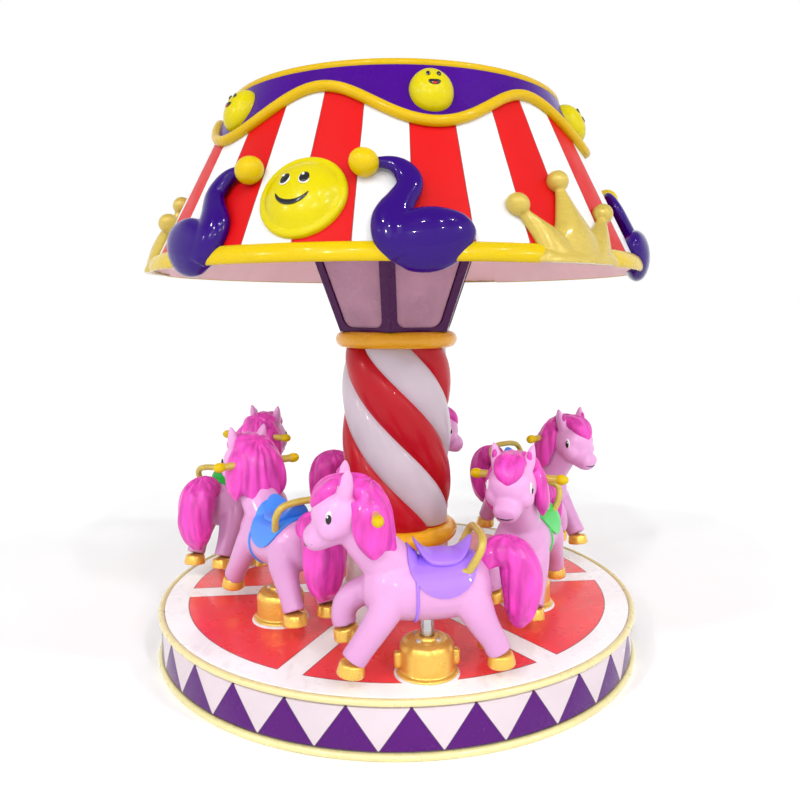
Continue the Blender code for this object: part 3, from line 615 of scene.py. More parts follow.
def loft(bm, stations, segments=20, side=(0.0, 1.0, 0.0), between=4, ridge=1.0):
    """A closed skin over oval rings. Below 1 the ridge makes the rings pointed, like a diamond."""
    run = eased_run(stations, between)
    ring = None
    for index, (centre, wide, high) in enumerate(run):
        before = run[max(index - 1, 0)][0]
        after = run[min(index + 1, len(run) - 1)][0]
        ahead = (after - before).normalized()
        across = Vector(side)
        across = (across - ahead * across.dot(ahead)).normalized()
        over = ahead.cross(across)
        if ring is None:
            ring = bmesh.ops.create_circle(bm, cap_ends=True, segments=segments, radius=1.0)["verts"]
        else:
            ring = next_ring(bm, ring)
        for number, vert in enumerate(ring):
            angle = 2 * math.pi * number / segments
            x = math.copysign(abs(math.cos(angle)) ** (1 / ridge), math.cos(angle))
            y = math.copysign(abs(math.sin(angle)) ** (1 / ridge), math.sin(angle))
            vert.co = centre + across * wide * x + over * high * y
    bmesh.ops.contextual_create(bm, geom=ring_edges(bm, ring))
    return bm


def ball(bm, centre, radii, segments=20, rings=12, turn=None):
    """A sphere or an egg, at its place."""
    place = Matrix.Translation(centre) @ (turn or Matrix.Identity(4)) @ Matrix.Diagonal((*radii, 1.0))
    bmesh.ops.create_uvsphere(bm, u_segments=segments, v_segments=rings, radius=1.0, matrix=place)
    return bm


def new_ball(centre, radii, segments=20, rings=12, turn=None):
    return ball(bmesh.new(), centre, radii, segments, rings, turn)


def tube(points, radius, closed=False, smooth=6):
    """A round bar along a run of points."""
    curve = bpy.data.curves.new("run", "CURVE")
    curve.dimensions = "3D"
    curve.bevel_depth = radius
    curve.bevel_resolution = smooth
    curve.use_fill_caps = not closed
    spline = curve.splines.new("POLY")
    spline.points.add(len(points) - 1)
    for point, place in zip(spline.points, points):
        point.co = (*place, 1.0)
    spline.use_cyclic_u = closed
    guide = linked("run", curve)
    graph = bpy.context.evaluated_depsgraph_get()
    bm = bmesh.new()
    bm.from_mesh(bpy.data.meshes.new_from_object(guide.evaluated_get(graph)))
    bpy.data.objects.remove(guide)
    bpy.data.curves.remove(curve)
    return closed_up(bm)


# Base, deck and column
def skirt_shape():
    rim = BASE_HIGH.x
    top = 0.1845
    lip = 0.03
    step = 0.028
    foot = rim - 0.014
    points = [(0.0, top), (rim, top), (rim, lip), (foot, step), (foot, 0.0), (0.0, 0.0)]
    return turned(rounded(points, 0.008), 180)


def deck_shape():
    edge = DECK_HIGH.x
    low = DECK_LOW.z
    points = [(0.0, DECK_HIGH.z), (edge, DECK_HIGH.z), (edge, low), (0.0, low)]
    return turned(rounded(points, 0.005), 180)


def plinth_shape():
    low = PLINTH_LOW.z
    high = PLINTH_HIGH.z
    foot = PLINTH_HIGH.x
    wall = foot - 0.018
    points = [(0.0, high), (wall, high), (wall, low + 0.03), (foot, low + 0.018), (foot, low), (0.0, low)]
    return turned(rounded(points, 0.01), 96)


def collar_shape(low, high, outer):
    half = (high - low) / 2
    points = [(0.0, high)]
    for index in range(17):
        angle = math.pi / 2 - math.pi * index / 16
        points.append((outer - half + half * math.cos(angle), low + half + half * math.sin(angle)))
    points.append((0.0, low))
    return turned(points, 128)


def twist_shape(sizes):
    """Round lobes wound about the axis, with a crease between each two, red and white in turn."""
    low = LOWER_COLLAR_HIGH.z
    high = UPPER_COLLAR_LOW.z
    levels = 90
    per_lobe = 14
    end_waist = 0.02
    fullness = 0.62
    segments = sizes.lobes * per_lobe
    bm = bmesh.new()
    ring = bmesh.ops.create_circle(bm, cap_ends=True, segments=segments, radius=1.0)["verts"]
    for level in range(levels + 1):
        share = level / levels
        if level:
            ring = next_ring(bm, ring)
        crease_turn = TOP_CREASE + sizes.twist * (1 - share)
        waist = end_waist * abs(2 * share - 1) ** 8
        for index, vert in enumerate(ring):
            spread = index / per_lobe
            swell = abs(math.sin(math.pi * spread)) ** fullness
            radius = sizes.radius - waist - sizes.crease * (1 - swell)
            vert.co = polar(radius, crease_turn + 2 * math.pi * index / segments, low + share * (high - low))
    bmesh.ops.contextual_create(bm, geom=ring_edges(bm, ring))
    bm.verts.index_update()
    for face in bm.faces:
        if len(face.verts) == 4:
            place = min(vert.index % segments for vert in face.verts)
            wraps = max(vert.index % segments for vert in face.verts) - place > 1
            lobe = sizes.lobes - 1 if wraps else place // per_lobe
            face.material_index = lobe % 2
    bmesh.ops.recalc_face_normals(bm, faces=bm.faces)
    return bm


def lantern_shapes(sizes):
    """A six-sided frame with round-cornered windows, and the panes that fill them."""
    low = LANTERN_LOW.z
    tall = LANTERN_HIGH.z - low
    corner = 0.04
    most_corners = 20
    border = 0.02
    bulge = 0.004
    set_back = 0.009
    pane = 0.004
    bm = bmesh.new()
    place = Matrix.Translation((0, 0, low + tall / 2)) @ Matrix.Rotation(LANTERN_TURN, 4, "Z")
    bmesh.ops.create_cone(
        bm,
        cap_ends=False,
        segments=6,
        radius1=LANTERN_FOOT,
        radius2=LANTERN_HEAD,
        depth=tall,
        matrix=place,
    )
    panes = list(bm.faces)
    bmesh.ops.inset_individual(bm, faces=panes, thickness=sizes.post, use_even_offset=True)
    corners = list({vert for pane in panes for vert in pane.verts})
    tip = low - tall * LANTERN_FOOT / (LANTERN_HEAD - LANTERN_FOOT)
    for vert in corners:
        if vert.co.z < low + tall / 2:
            vert.co = Vector((0, 0, tip)).lerp(vert.co, 1 - LANTERN_DROP / (vert.co.z - tip))
    bmesh.ops.bevel(
        bm, geom=corners, offset=corner, affect="VERTICES", segments=6, profile=0.5, material=-1
    )
    windows = [face for face in bm.faces if len(face.verts) > most_corners]
    glass = bm.copy()
    bmesh.ops.delete(bm, geom=windows, context="FACES")
    bars = [face for face in glass.faces if len(face.verts) <= most_corners]
    bmesh.ops.delete(glass, geom=bars, context="FACES")
    thick = ("SOLIDIFY", {"thickness": sizes.frame, "offset": -1.0, "use_even_offset": True})
    edge = ("BEVEL", {"width": 0.003, "segments": 2, "limit_method": "ANGLE", "harden_normals": False})
    frame_mesh = worked(bm, thick, edge)
    bmesh.ops.inset_individual(glass, faces=list(glass.faces), thickness=border, depth=bulge)
    for vert in glass.verts:
        flat = Vector((vert.co.x, vert.co.y, 0.0))
        vert.co -= flat.normalized() * set_back
    pane_mesh = worked(glass, ("SOLIDIFY", {"thickness": pane, "offset": -1.0}))
    return frame_mesh, pane_mesh


# Canopy
def shell_shape():
    outer_low = cone_radius(SHELL_LOW.z)
    outer_high = cone_radius(SHELL_HIGH.z)
    points = [
        (outer_high, SHELL_HIGH.z),
        (outer_low, SHELL_LOW.z),
        (outer_low - WALL, SHELL_LOW.z),
        (outer_high - WALL, SHELL_HIGH.z),
    ]
    bm = turned(points, 192, loop=True)
    for face in bm.faces:
        middle = face.calc_center_median()
        outside = middle.xy.length > cone_radius(middle.z) - WALL * 0.3
        face.material_index = 0 if outside else 1
    return bm


def disc_shape(low, high):
    gap = 0.0006
    points = [
        (0.0, high),
        (cone_radius(high) - WALL - gap, high),
        (cone_radius(low) - WALL - gap, low),
        (0.0, low),
    ]
    return turned(points, 144)


def rim_bar_shape(sizes, turn, spread):
    """One run of the rim bar between two crowns, its ends rounded off."""
    foot = cone_radius(BAR_Z)
    half = spread * foot
    stations = []
    round_off = 0.03
    back = -0.005
    for share in (0.02, 0.3, 0.6, 0.85, 0.97, 1.0):
        shrink = math.sqrt(1 - (1 - share) ** 2)
        stations.append((share * round_off - half, shrink))
    steps = 60
    for index in range(1, steps):
        stations.append((round_off - half + (2 * half - 2 * round_off) * index / steps, 1.0))
    stations += [(-place, shrink) for place, shrink in reversed(stations[:6])]
    rows = []
    for place, shrink in stations:
        rows.append(((place, 0.0, 0.0), sizes.bar_depth * shrink, sizes.bar_height * shrink))
    bm = loft(bmesh.new(), rows, segments=28, side=(0.0, 0.0, 1.0), between=1)
    for vert in bm.verts:
        vert.co.z = max(vert.co.z, back)
    closed_up(bm)
    wrap(bm, BAR_Z, turn)
    return bm


def wave_z(sizes, turn):
    return sizes.wave_z - sizes.wave_height * math.cos(WAVE_LOBES * (turn - WAVE_LOW_TURN))


def valance_shape(sizes):
    """The violet band: its upper edge level, its lower edge on the wave."""
    segments = 240
    top = TOP_RING_LOW.z + 0.001
    skin = 0.006
    inside = 0.0005
    behind_bead = 0.004
    bm = bmesh.new()
    ring = bmesh.ops.create_circle(bm, cap_ends=False, segments=segments, radius=1.0)["verts"]
    rows = [(0.0, inside)] + [(quarter / 4, skin) for quarter in range(5)] + [(1.0, inside)]
    first = ring
    for number, (share, out) in enumerate(rows):
        if number:
            ring = next_ring(bm, ring)
        for index, vert in enumerate(ring):
            turn = 2 * math.pi * index / segments
            z = top + share * (wave_z(sizes, turn) + behind_bead - top)
            vert.co = polar(cone_radius(z) + out, turn, z)
    bmesh.ops.bridge_loops(bm, edges=ring_edges(bm, first) + ring_edges(bm, ring))
    bmesh.ops.recalc_face_normals(bm, faces=bm.faces)
    return bm


def wave_bead_shape(sizes):
    points = []
    count = 360
    for index in range(count):
        turn = 2 * math.pi * index / count
        z = wave_z(sizes, turn)
        points.append(polar(cone_radius(z) + 0.6 * sizes.wave_bead, turn, z))
    return tube(points, sizes.wave_bead, closed=True)


def dome_shape(sizes):
    """A low egg over the wave's low point, with a small cheerful face raised on it."""
    wide = sizes.dome
    tall = wide * 1.14
    deep = wide * 0.8
    bm = new_ball((0, 0, 0), (wide, tall, deep), 48, 28)
    for vert in bm.verts:
        level = vert.co.y / tall
        vert.co.x *= 1.0 - 0.1 * level * abs(level)
        vert.co.z = max(vert.co.z, -0.006)
    closed_up(bm)
    for side in (-1, 1):
        joined(bm, new_ball((side * 0.018, 0.03, deep * 0.93), (0.0075, 0.0115, 0.0045), 16, 10), 1)
    mouth = new_ball((0.0, -0.006, deep * 0.975), (0.021, 0.016, 0.0045), 24, 12)
    for vert in mouth.verts:
        vert.co.y = min(vert.co.y, -0.001)
    joined(bm, closed_up(mouth), 1)
    joined(bm, new_ball((0.0, -0.015, deep * 0.972), (0.0105, 0.006, 0.005), 20, 10), 2)
    return bm


FACE_PROFILE = (
    (0.0, 0.066),
    (0.03, 0.0655),
    (0.06, 0.062),
    (0.09, 0.0535),
    (0.112, 0.0425),
    (0.127, 0.0315),
    (0.136, 0.0245),
    (0.141, 0.0225),
    (0.149, 0.0235),
    (0.157, 0.0205),
    (0.1615, 0.0145),
    (0.163, 0.006),
    (0.163, -0.005),
    (0.0, -0.005),
)


def face_out(right, up):
    """How far a face's front stands out from the shell at a place on it."""
    radius = math.hypot(right, up)
    for (near, high), (far, low) in zip(FACE_PROFILE, FACE_PROFILE[1:]):
        if near <= radius <= far and far > near:
            return high + (low - high) * (radius - near) / (far - near)
    return 0.0


def face_shape():
    """A puffed disc on a rim, with raised eyes and smile."""
    bm = turned(FACE_PROFILE, 96)
    closed_up(bm)
    for side in (-1, 1):
        at = (side * 0.036 - 0.012, 0.044)
        out = face_out(*at)
        lean = Matrix.Rotation(math.radians(-16), 4, "X") @ Matrix.Rotation(side * math.radians(10), 4, "Y")
        joined(bm, new_ball((*at, out - 0.003), (0.021, 0.031, 0.006), 28, 16, lean), 1)
        joined(bm, new_ball((*at, out - 0.0005), (0.0175, 0.027, 0.006), 28, 16, lean), 2)
        # A small white dot on each eye: a painted highlight
        painted_glint = (at[0] - 0.005, at[1] + 0.01, out + 0.0042)
        joined(bm, new_ball(painted_glint, (0.0045, 0.0062, 0.003), 14, 10, lean), 1)
    stations = []
    for index in range(13):
        share = index / 12
        angle = math.radians(205 + 130 * share)
        at = (0.066 * math.cos(angle) - 0.012, 0.012 + 0.066 * math.sin(angle))
        swell = math.sin(math.pi * share) ** 0.8
        stations.append(((*at, face_out(*at)), 0.0022 + 0.0012 * swell, 0.002 + 0.0085 * swell))
    smile = loft(bmesh.new(), stations, 14, side=(0.0, 0.0, 1.0), between=2)
    closed_up(smile)
    return joined(bm, smile, 2)


# Each horn row is right, up the slope, out, half thickness and half width.
HORN_NECK = (
    (-0.15, 0.341, 0.03, 0.017, 0.018),
    (-0.123, 0.342, 0.03, 0.021, 0.021),
    (-0.095, 0.337, 0.031, 0.024, 0.027),
    (-0.07, 0.325, 0.031, 0.026, 0.034),
    (-0.05, 0.303, 0.031, 0.028, 0.041),
    (-0.037, 0.275, 0.031, 0.03, 0.0445),
    (-0.035, 0.25, 0.032, 0.031, 0.045),
    (-0.043, 0.226, 0.032, 0.033, 0.046),
    (-0.056, 0.203, 0.032, 0.036, 0.048),
    (-0.07, 0.178, 0.03, 0.041, 0.053),
    (-0.085, 0.15, 0.028, 0.046, 0.062),
    (-0.095, 0.115, 0.024, 0.051, 0.073),
    (-0.088, 0.075, 0.02, 0.055, 0.083),
    (-0.07, 0.035, 0.012, 0.052, 0.082),
    (-0.05, -0.005, 0.005, 0.04, 0.06),
)
HORN_BULB = (
    (-0.15, 0.02, 0.004, 0.012, 0.018),
    (-0.135, 0.026, 0.006, 0.032, 0.046),
    (-0.11, 0.034, 0.009, 0.046, 0.07),
    (-0.07, 0.04, 0.012, 0.056, 0.094),
    (-0.02, 0.042, 0.012, 0.061, 0.108),
    (0.03, 0.048, 0.014, 0.062, 0.111),
    (0.075, 0.057, 0.016, 0.059, 0.102),
    (0.115, 0.066, 0.017, 0.05, 0.083),
    (0.15, 0.071, 0.015, 0.036, 0.057),
    (0.172, 0.074, 0.012, 0.018, 0.028),
    (0.18, 0.075, 0.01, 0.004, 0.006),
)
HORN_BALL = (-0.183, 0.335, 0.038)
HORN_BALL_RADIUS = 0.051


def horn_shape(sizes, side):
    """A horn: a neck that curls over into a two-lobed bulb, with a ball at its tip."""
    radial = Vector((0.0, -CONE_SLOPE, 1.0)).normalized()
    bm = bmesh.new()
    for rows, outward in ((HORN_NECK, Vector((0.0, 0.0, 1.0))), (HORN_BULB, radial)):
        stations = [((side * right, up, out), thick, wide) for right, up, out, thick, wide in rows]
        loft(bm, stations, 24, side=outward, between=3)
    closed_up(bm)
    bm = fused(bm, sizes.grain, 10)
    bmesh.ops.scale(bm, vec=(1.0, 1.0, HORN_DEPTH), verts=bm.verts)
    right, up, out = HORN_BALL
    tip = new_ball((side * right, up, out), (HORN_BALL_RADIUS,) * 3, 40, 24)
    return joined(bm, tip, 1)


CROWN_CENTRE = (
    ((0.0, -0.052, 0.0), 0.03, 0.152),
    ((0.0, 0.02, 0.004), 0.038, 0.14),
    ((0.0, 0.08, 0.008), 0.043, 0.112),
    ((0.0, 0.13, 0.01), 0.04, 0.08),
    ((0.0, 0.19, 0.012), 0.033, 0.05),
    ((0.0, 0.24, 0.015), 0.025, 0.028),
    ((0.0, 0.275, 0.018), 0.017, 0.018),
)
CROWN_SIDE = (
    ((0.07, -0.05, 0.0), 0.026, 0.095),
    ((0.1, 0.01, 0.003), 0.034, 0.085),
    ((0.14, 0.06, 0.006), 0.036, 0.066),
    ((0.175, 0.105, 0.009), 0.032, 0.042),
    ((0.205, 0.145, 0.012), 0.024, 0.025),
    ((0.222, 0.17, 0.016), 0.016, 0.016),
)
CROWN_BASE = (
    ((-0.19, -0.015, 0.0), 0.015, 0.025),
    ((-0.175, -0.017, 0.002), 0.027, 0.044),
    ((0.0, -0.018, 0.004), 0.032, 0.048),
    ((0.175, -0.017, 0.002), 0.027, 0.044),
    ((0.19, -0.015, 0.0), 0.015, 0.025),
)
CROWN_BALLS = ((-0.231, 0.184), (0.0, 0.3), (0.231, 0.184))


def crown_shape(sizes):
    """Three ridged points that grow out of one base, each with a ball."""
    bm = bmesh.new()
    out = (0.0, 0.0, 1.0)
    loft(bm, CROWN_CENTRE, 24, side=out, ridge=0.82)
    loft(bm, CROWN_SIDE, 24, side=out, ridge=0.82)
    mirrored = [((-x, y, z), thick, wide) for (x, y, z), thick, wide in CROWN_SIDE]
    loft(bm, mirrored, 24, side=out, ridge=0.82)
    loft(bm, CROWN_BASE, 24, side=out)
    for right, up in CROWN_BALLS:
        ball(bm, (right, up, 0.022), (0.0415,) * 3, 32, 20)
    closed_up(bm)
    bm = fused(bm, sizes.grain, 4)
    for vert in bm.verts:
        level = (SHELL_LOW.z - sizes.crown_z) * CONE_LENGTH - CONE_SLOPE * vert.co.z
        vert.co.y = max(vert.co.y, level)
    stay_in_wall(bm, sizes.crown_z, SHELL_LOW.z)
    return bm


# Ponies: X is forward, Y to the left, Z up from the lowest hoof
TORSO = (
    ((-0.232, 0, 0.305), 0.02, 0.03),
    ((-0.222, 0, 0.303), 0.06, 0.066),
    ((-0.19, 0, 0.296), 0.102, 0.1),
    ((-0.14, 0, 0.285), 0.12, 0.113),
    ((-0.05, 0, 0.272), 0.124, 0.112),
    ((0.05, 0, 0.27), 0.119, 0.111),
    ((0.13, 0, 0.284), 0.115, 0.118),
    ((0.19, 0, 0.3), 0.092, 0.1),
    ((0.222, 0, 0.308), 0.05, 0.057),
    ((0.232, 0, 0.31), 0.02, 0.025),
)
NECK = (
    ((0.095, 0, 0.33), 0.08, 0.085),
    ((0.16, 0, 0.39), 0.083, 0.088),
    ((0.215, 0, 0.455), 0.08, 0.084),
    ((0.262, 0, 0.525), 0.078, 0.08),
    ((0.295, 0, 0.57), 0.06, 0.06),
)
SNOUT = (
    ((0.3, 0, 0.53), 0.08, 0.08),
    ((0.345, 0, 0.505), 0.073, 0.07),
    ((0.382, 0, 0.48), 0.058, 0.056),
    ((0.41, 0, 0.467), 0.052, 0.048),
    ((0.43, 0, 0.46), 0.04, 0.035),
    ((0.439, 0, 0.457), 0.02, 0.018),
)
FRONT_LEG = (
    ((0.12, 0.066, 0.3), 0.045, 0.056),
    ((0.15, 0.073, 0.235), 0.053, 0.06),
    ((0.195, 0.079, 0.165), 0.049, 0.053),
    ((0.242, 0.082, 0.1), 0.044, 0.048),
    ((0.273, 0.083, 0.055), 0.045, 0.048),
)
RAISED_LEG = (
    ((0.12, -0.066, 0.3), 0.045, 0.056),
    ((0.165, -0.074, 0.255), 0.054, 0.06),
    ((0.235, -0.083, 0.235), 0.05, 0.054),
    ((0.283, -0.085, 0.2), 0.046, 0.05),
    ((0.298, -0.085, 0.155), 0.043, 0.046),
    ((0.293, -0.084, 0.12), 0.044, 0.046),
)
HIND_LEG = (
    ((-0.13, 0.066, 0.29), 0.052, 0.07),
    ((-0.158, 0.074, 0.225), 0.06, 0.068),
    ((-0.19, 0.077, 0.16), 0.05, 0.056),
    ((-0.226, 0.079, 0.1), 0.043, 0.047),
    ((-0.248, 0.079, 0.055), 0.044, 0.047),
)
EAR = (
    ((0.302, 0.056, 0.618), 0.027, 0.032),
    ((0.296, 0.067, 0.66), 0.026, 0.03),
    ((0.29, 0.077, 0.7), 0.016, 0.02),
    ((0.287, 0.083, 0.73), 0.004, 0.005),
)
FORELOCK = (
    ((0.24, 0, 0.645), 0.06, 0.032),
    ((0.295, 0, 0.655), 0.068, 0.036),
    ((0.345, 0, 0.648), 0.066, 0.036),
    ((0.378, 0, 0.622), 0.056, 0.034),
    ((0.397, 0, 0.592), 0.036, 0.026),
    ((0.402, 0, 0.572), 0.012, 0.01),
)
MANE = (
    ((0.3, 0, 0.645), 0.06, 0.036),
    ((0.255, 0, 0.648), 0.088, 0.044),
    ((0.212, 0, 0.615), 0.1, 0.05),
    ((0.182, 0, 0.56), 0.104, 0.052),
    ((0.165, 0, 0.5), 0.1, 0.045),
    ((0.15, 0, 0.445), 0.085, 0.04),
    ((0.125, 0, 0.41), 0.055, 0.03),
    ((0.11, 0, 0.385), 0.015, 0.012),
)
MANE_LOCK = (
    ((0.24, 0.07, 0.62), 0.028, 0.045),
    ((0.222, 0.095, 0.57), 0.03, 0.06),
    ((0.21, 0.105, 0.51), 0.03, 0.062),
    ((0.2, 0.107, 0.455), 0.026, 0.045),
    ((0.2, 0.105, 0.41), 0.006, 0.01),
)
TAIL = (
    ((-0.195, 0, 0.34), 0.036, 0.036),
    ((-0.23, 0, 0.378), 0.05, 0.046),
    ((-0.28, 0, 0.393), 0.068, 0.056),
    ((-0.33, 0, 0.366), 0.085, 0.068),
    ((-0.35, 0, 0.308), 0.091, 0.074),
    ((-0.355, 0, 0.243), 0.087, 0.07),
    ((-0.35, 0, 0.178), 0.07, 0.058),
    ((-0.348, 0, 0.133), 0.045, 0.038),
    ((-0.357, 0, 0.108), 0.012, 0.012),
)
BACKREST = (
    (-0.125, 0.085, 0.335),
    (-0.152, 0.106, 0.39),
    (-0.172, 0.11, 0.43),
    (-0.184, 0.092, 0.46),
    (-0.188, 0.05, 0.471),
    (-0.188, 0.015, 0.473),
)
# Each hoof is its place and how far it leans back, in degrees
HOOVES = (
    (0.28, 0.083, 0.027, -10.0),
    (0.288, -0.083, 0.088, 14.0),
    (-0.256, 0.079, 0.027, 6.0),
    (-0.256, -0.079, 0.027, 6.0),
)
HANDLEBAR_X = 0.195
HANDLEBAR_Z = 0.57
# The oval that the saddle cloth is cut to, seen from the side: its middle and its reach
CLOTH_X, CLOTH_Z = (-0.045, 0.4)
CLOTH_LONG, CLOTH_TALL = (0.124, 0.125)
CLOTH_CUTS = 24
# The middle of the seat, and how far a pedestal's flange stands out
SEAT = (-0.055, 0, 0.382)
FLANGE = 0.0135


def mirrored(stations):
    return [((x, -y, z), wide, high) for (x, y, z), wide, high in stations]


def pony_skin(sizes):
    """The body, neck, head, ears and legs as one smooth skin."""
    bm = bmesh.new()
    for stations in (TORSO, NECK, SNOUT, FRONT_LEG, RAISED_LEG, HIND_LEG, mirrored(HIND_LEG)):
        loft(bm, stations, 24)
    ball(bm, (0.312, 0, 0.555), (0.104, 0.1, 0.1), 32, 20)
    for side in (-1, 1):
        ball(bm, (0.345, side * 0.056, 0.52), (0.05, 0.044, 0.048))
        ball(bm, (0.408, side * 0.024, 0.474), (0.034, 0.03, 0.031))
    for ear in (EAR, mirrored(EAR)):
        loft(bm, ear, 16)
    closed_up(bm)
    return fused(bm, sizes.grain, 8)


def hoof_shape():
    """A short cone with its two rims rounded: they lie between a small side face and a large end."""
    end_area = 0.002
    bm = bmesh.new()
    bmesh.ops.create_cone(bm, cap_ends=True, segments=28, radius1=0.052, radius2=0.0435, depth=0.046)
    rims = [edge for edge in bm.edges if len({face.calc_area() > end_area for face in edge.link_faces}) == 2]
    bmesh.ops.bevel(bm, geom=rims, offset=0.008, affect="EDGES", segments=3, profile=0.5, material=-1)
    return bm


def pony_figure(skin):
    """The painted pony: its skin with hooves, eyes, nostrils and a smiling mouth set in."""
    bm = skin.copy()
    for x, y, z, lean in HOOVES:
        place = Matrix.Translation((x, y, z)) @ Matrix.Rotation(math.radians(lean), 4, "Y")
        joined(bm, hoof_shape(), 1, place)
    for side in (-1, 1):
        turn = Matrix.Rotation(side * math.radians(24), 4, "Z")
        joined(bm, new_ball((0.35, side * 0.0845, 0.558), (0.019, 0.01, 0.028), 24, 14, turn), 3)
        joined(bm, new_ball((0.354, side * 0.0885, 0.557), (0.0135, 0.009, 0.021), 24, 14, turn), 2)
        # A small white dot on each eye: a painted highlight
        joined(bm, new_ball((0.359, side * 0.0945, 0.565), (0.0045, 0.0035, 0.006), 12, 8, turn), 3)
        joined(bm, new_ball((0.433, side * 0.022, 0.477), (0.005, 0.005, 0.007), 12, 8), 2)
        joined(bm, new_ball((0.312, side * 0.072, 0.676), (0.011, 0.012, 0.025), 16, 10), 4)
    points = []
    for index in range(15):
        angle = math.radians(-62 + 124 * index / 14)
        lift = 0.012 * (angle / 1.08) ** 2
        points.append((0.387 + 0.051 * math.cos(angle), 0.054 * math.sin(angle), 0.447 + lift))
    return joined(bm, tube(points, 0.0024, smooth=2), 2)


def combed(bm, depth):
    """Cut strand grooves in moulded hair: they run along it and wander a little."""
    bm.normal_update()
    moves = []
    for vert in bm.verts:
        x, y, z = vert.co
        wander = noise.noise(Vector((x * 7.0, y * 7.0, z * 5.0)))
        around = math.atan2(y, x - 0.2 if x > -0.1 else x + 0.3)
        ridges = math.sin(around * 11.0 + wander * 5.0 + z * 9.0)
        moves.append(vert.normal * depth * ridges)
    for vert, move in zip(bm.verts, moves):
        vert.co += move
    return bm


def pony_hair(sizes):
    """Forelock, mane with a lock down each side, and a full tail."""
    bm = bmesh.new()
    for stations in (FORELOCK, MANE, MANE_LOCK, mirrored(MANE_LOCK), TAIL):
        loft(bm, stations, 28)
    closed_up(bm)
    bm = fused(bm, sizes.grain * 0.85, 7)
    return combed(bm, sizes.strand)


def cloth_shape(skin):
    """A saddle cloth moulded over the back, with a girth and a low raised seat."""
    bm = skin.copy()
    for index in range(CLOTH_CUTS):
        angle = 2 * math.pi * index / CLOTH_CUTS
        place = (CLOTH_X + CLOTH_LONG * math.cos(angle), 0, CLOTH_Z + CLOTH_TALL * math.sin(angle))
        off = (math.cos(angle) / CLOTH_LONG, 0, math.sin(angle) / CLOTH_TALL)
        geom = list(bm.verts) + list(bm.edges) + list(bm.faces)
        bmesh.ops.bisect_plane(bm, geom=geom, dist=0.00001, plane_co=place, plane_no=off, clear_outer=True)
    bm.normal_update()
    for vert in bm.verts:
        vert.co += vert.normal * 0.0015
    thick = ("SOLIDIFY", {"thickness": 0.006, "offset": 1.0, "use_even_offset": False})
    edge = ("BEVEL", {"width": 0.002, "segments": 2, "limit_method": "ANGLE"})
    cloth = bmesh.new()
    cloth.from_mesh(worked(bm, thick, edge))
    seat = new_ball(SEAT, (0.108, 0.088, 0.026), 40, 20)
    for vert in seat.verts:
        vert.co.z += 14.0 * max(0.0, abs(vert.co.x - SEAT[0]) - 0.035) ** 2
    joined(cloth, seat, 0)
    points = []
    for index in range(48):
        angle = 2 * math.pi * index / 48
        points.append((0.05, 0.1195 * math.cos(angle), 0.27 + 0.1115 * math.sin(angle)))
    return joined(cloth, tube(points, 0.006, closed=True, smooth=3), 0)


def handlebar_shape(sizes):
    """A round bar with an oval knob at each end."""
    knob = 0.029
    reach = sizes.reach - knob
    ends = [(HANDLEBAR_X, -reach, HANDLEBAR_Z), (HANDLEBAR_X, reach, HANDLEBAR_Z)]
    bar = tube(ends, sizes.handlebar * 0.94)
    for side in (-1, 1):
        thick = sizes.handlebar * 1.2
        joined(bar, new_ball((HANDLEBAR_X, side * reach, HANDLEBAR_Z), (thick, knob, thick), 24, 16), 1)
    return bar


def backrest_shape():
    """A bent bar from one side of the back to the other, with a foot at each end."""
    bar = 0.0145
    right = [(x, -y, z) for x, y, z in reversed(BACKREST)]
    stations = [(point, bar, bar) for point in BACKREST + tuple(right)]
    run = [tuple(row[0]) for row in eased_run(stations, 6)]
    bm = tube(run, bar)
    for side in (-1, 1):
        foot = Vector((BACKREST[0][0], side * BACKREST[0][1], BACKREST[0][2] + 0.02))
        joined(bm, new_ball(foot, (0.023, 0.02, 0.012), 20, 12))
    return bm


def post_shape(sizes):
    low = POST_LOW.z - DECK_HIGH.z - PONY_LIFTS[0]
    high = 0.285
    points = [(0.0, high), (sizes.post, high), (sizes.post, low), (0.0, low)]
    return turned(rounded(points, 0.002), 40)


def pedestal_shape(sizes):
    """A cast sleeve with a flange, two side lugs, a collar and four bolts."""
    wide = sizes.pedestal
    top = sizes.pedestal_height
    bore = sizes.post + 0.0006
    points = [
        (bore, 0.0),
        (bore, top + 0.012),
        (bore + 0.016, top + 0.012),
        (bore + 0.02, top),
        (wide - 0.03, top),
        (wide - 0.008, top - 0.01),
        (wide, top - 0.03),
        (wide, 0.02),
        (wide + FLANGE, 0.014),
        (wide + FLANGE, 0.0),
        (bore, 0.0),
    ]
    bm = turned(rounded(points, 0.006, 3), 72)
    for side in (-1, 1):
        lug = bmesh.new()
        bmesh.ops.create_cube(lug, size=1.0, matrix=Matrix.Diagonal((0.05, 0.03, 0.06, 1.0)))
        bmesh.ops.bevel(
            lug, geom=list(lug.edges), offset=0.009, affect="EDGES", segments=3, profile=0.5, material=-1
        )
        joined(bm, lug, 0, Matrix.Translation((side * (wide - 0.004), 0.0, 0.055)))
    for index in range(4):
        bolt = bmesh.new()
        bmesh.ops.create_cone(bolt, cap_ends=True, segments=6, radius1=0.009, radius2=0.009, depth=0.008)
        angle = math.radians(45 + 90 * index)
        joined(bm, bolt, 1, Matrix.Translation((*polar(wide - 0.05, angle).xy, top + 0.003)))
    return bm


def pony_place(index):
    turn = math.radians(PONY_AZIMUTHS[index])
    at = polar(PONY_RINGS[index % 2], turn, DECK_HIGH.z + PONY_LIFTS[index])
    return Matrix.Translation(at) @ Matrix.Rotation(turn - math.pi / 2, 4, "Z")


def placed(mesh, place):
    """A copy of a pony's mesh in its place, which remembers where each point was on the pony."""
    copy = mesh.copy()
    remembered = copy.attributes.new("pony_place", "FLOAT_VECTOR", "POINT")
    for vert, value in zip(copy.vertices, remembered.data):
        value.vector = vert.co
    copy.transform(place)
    return copy


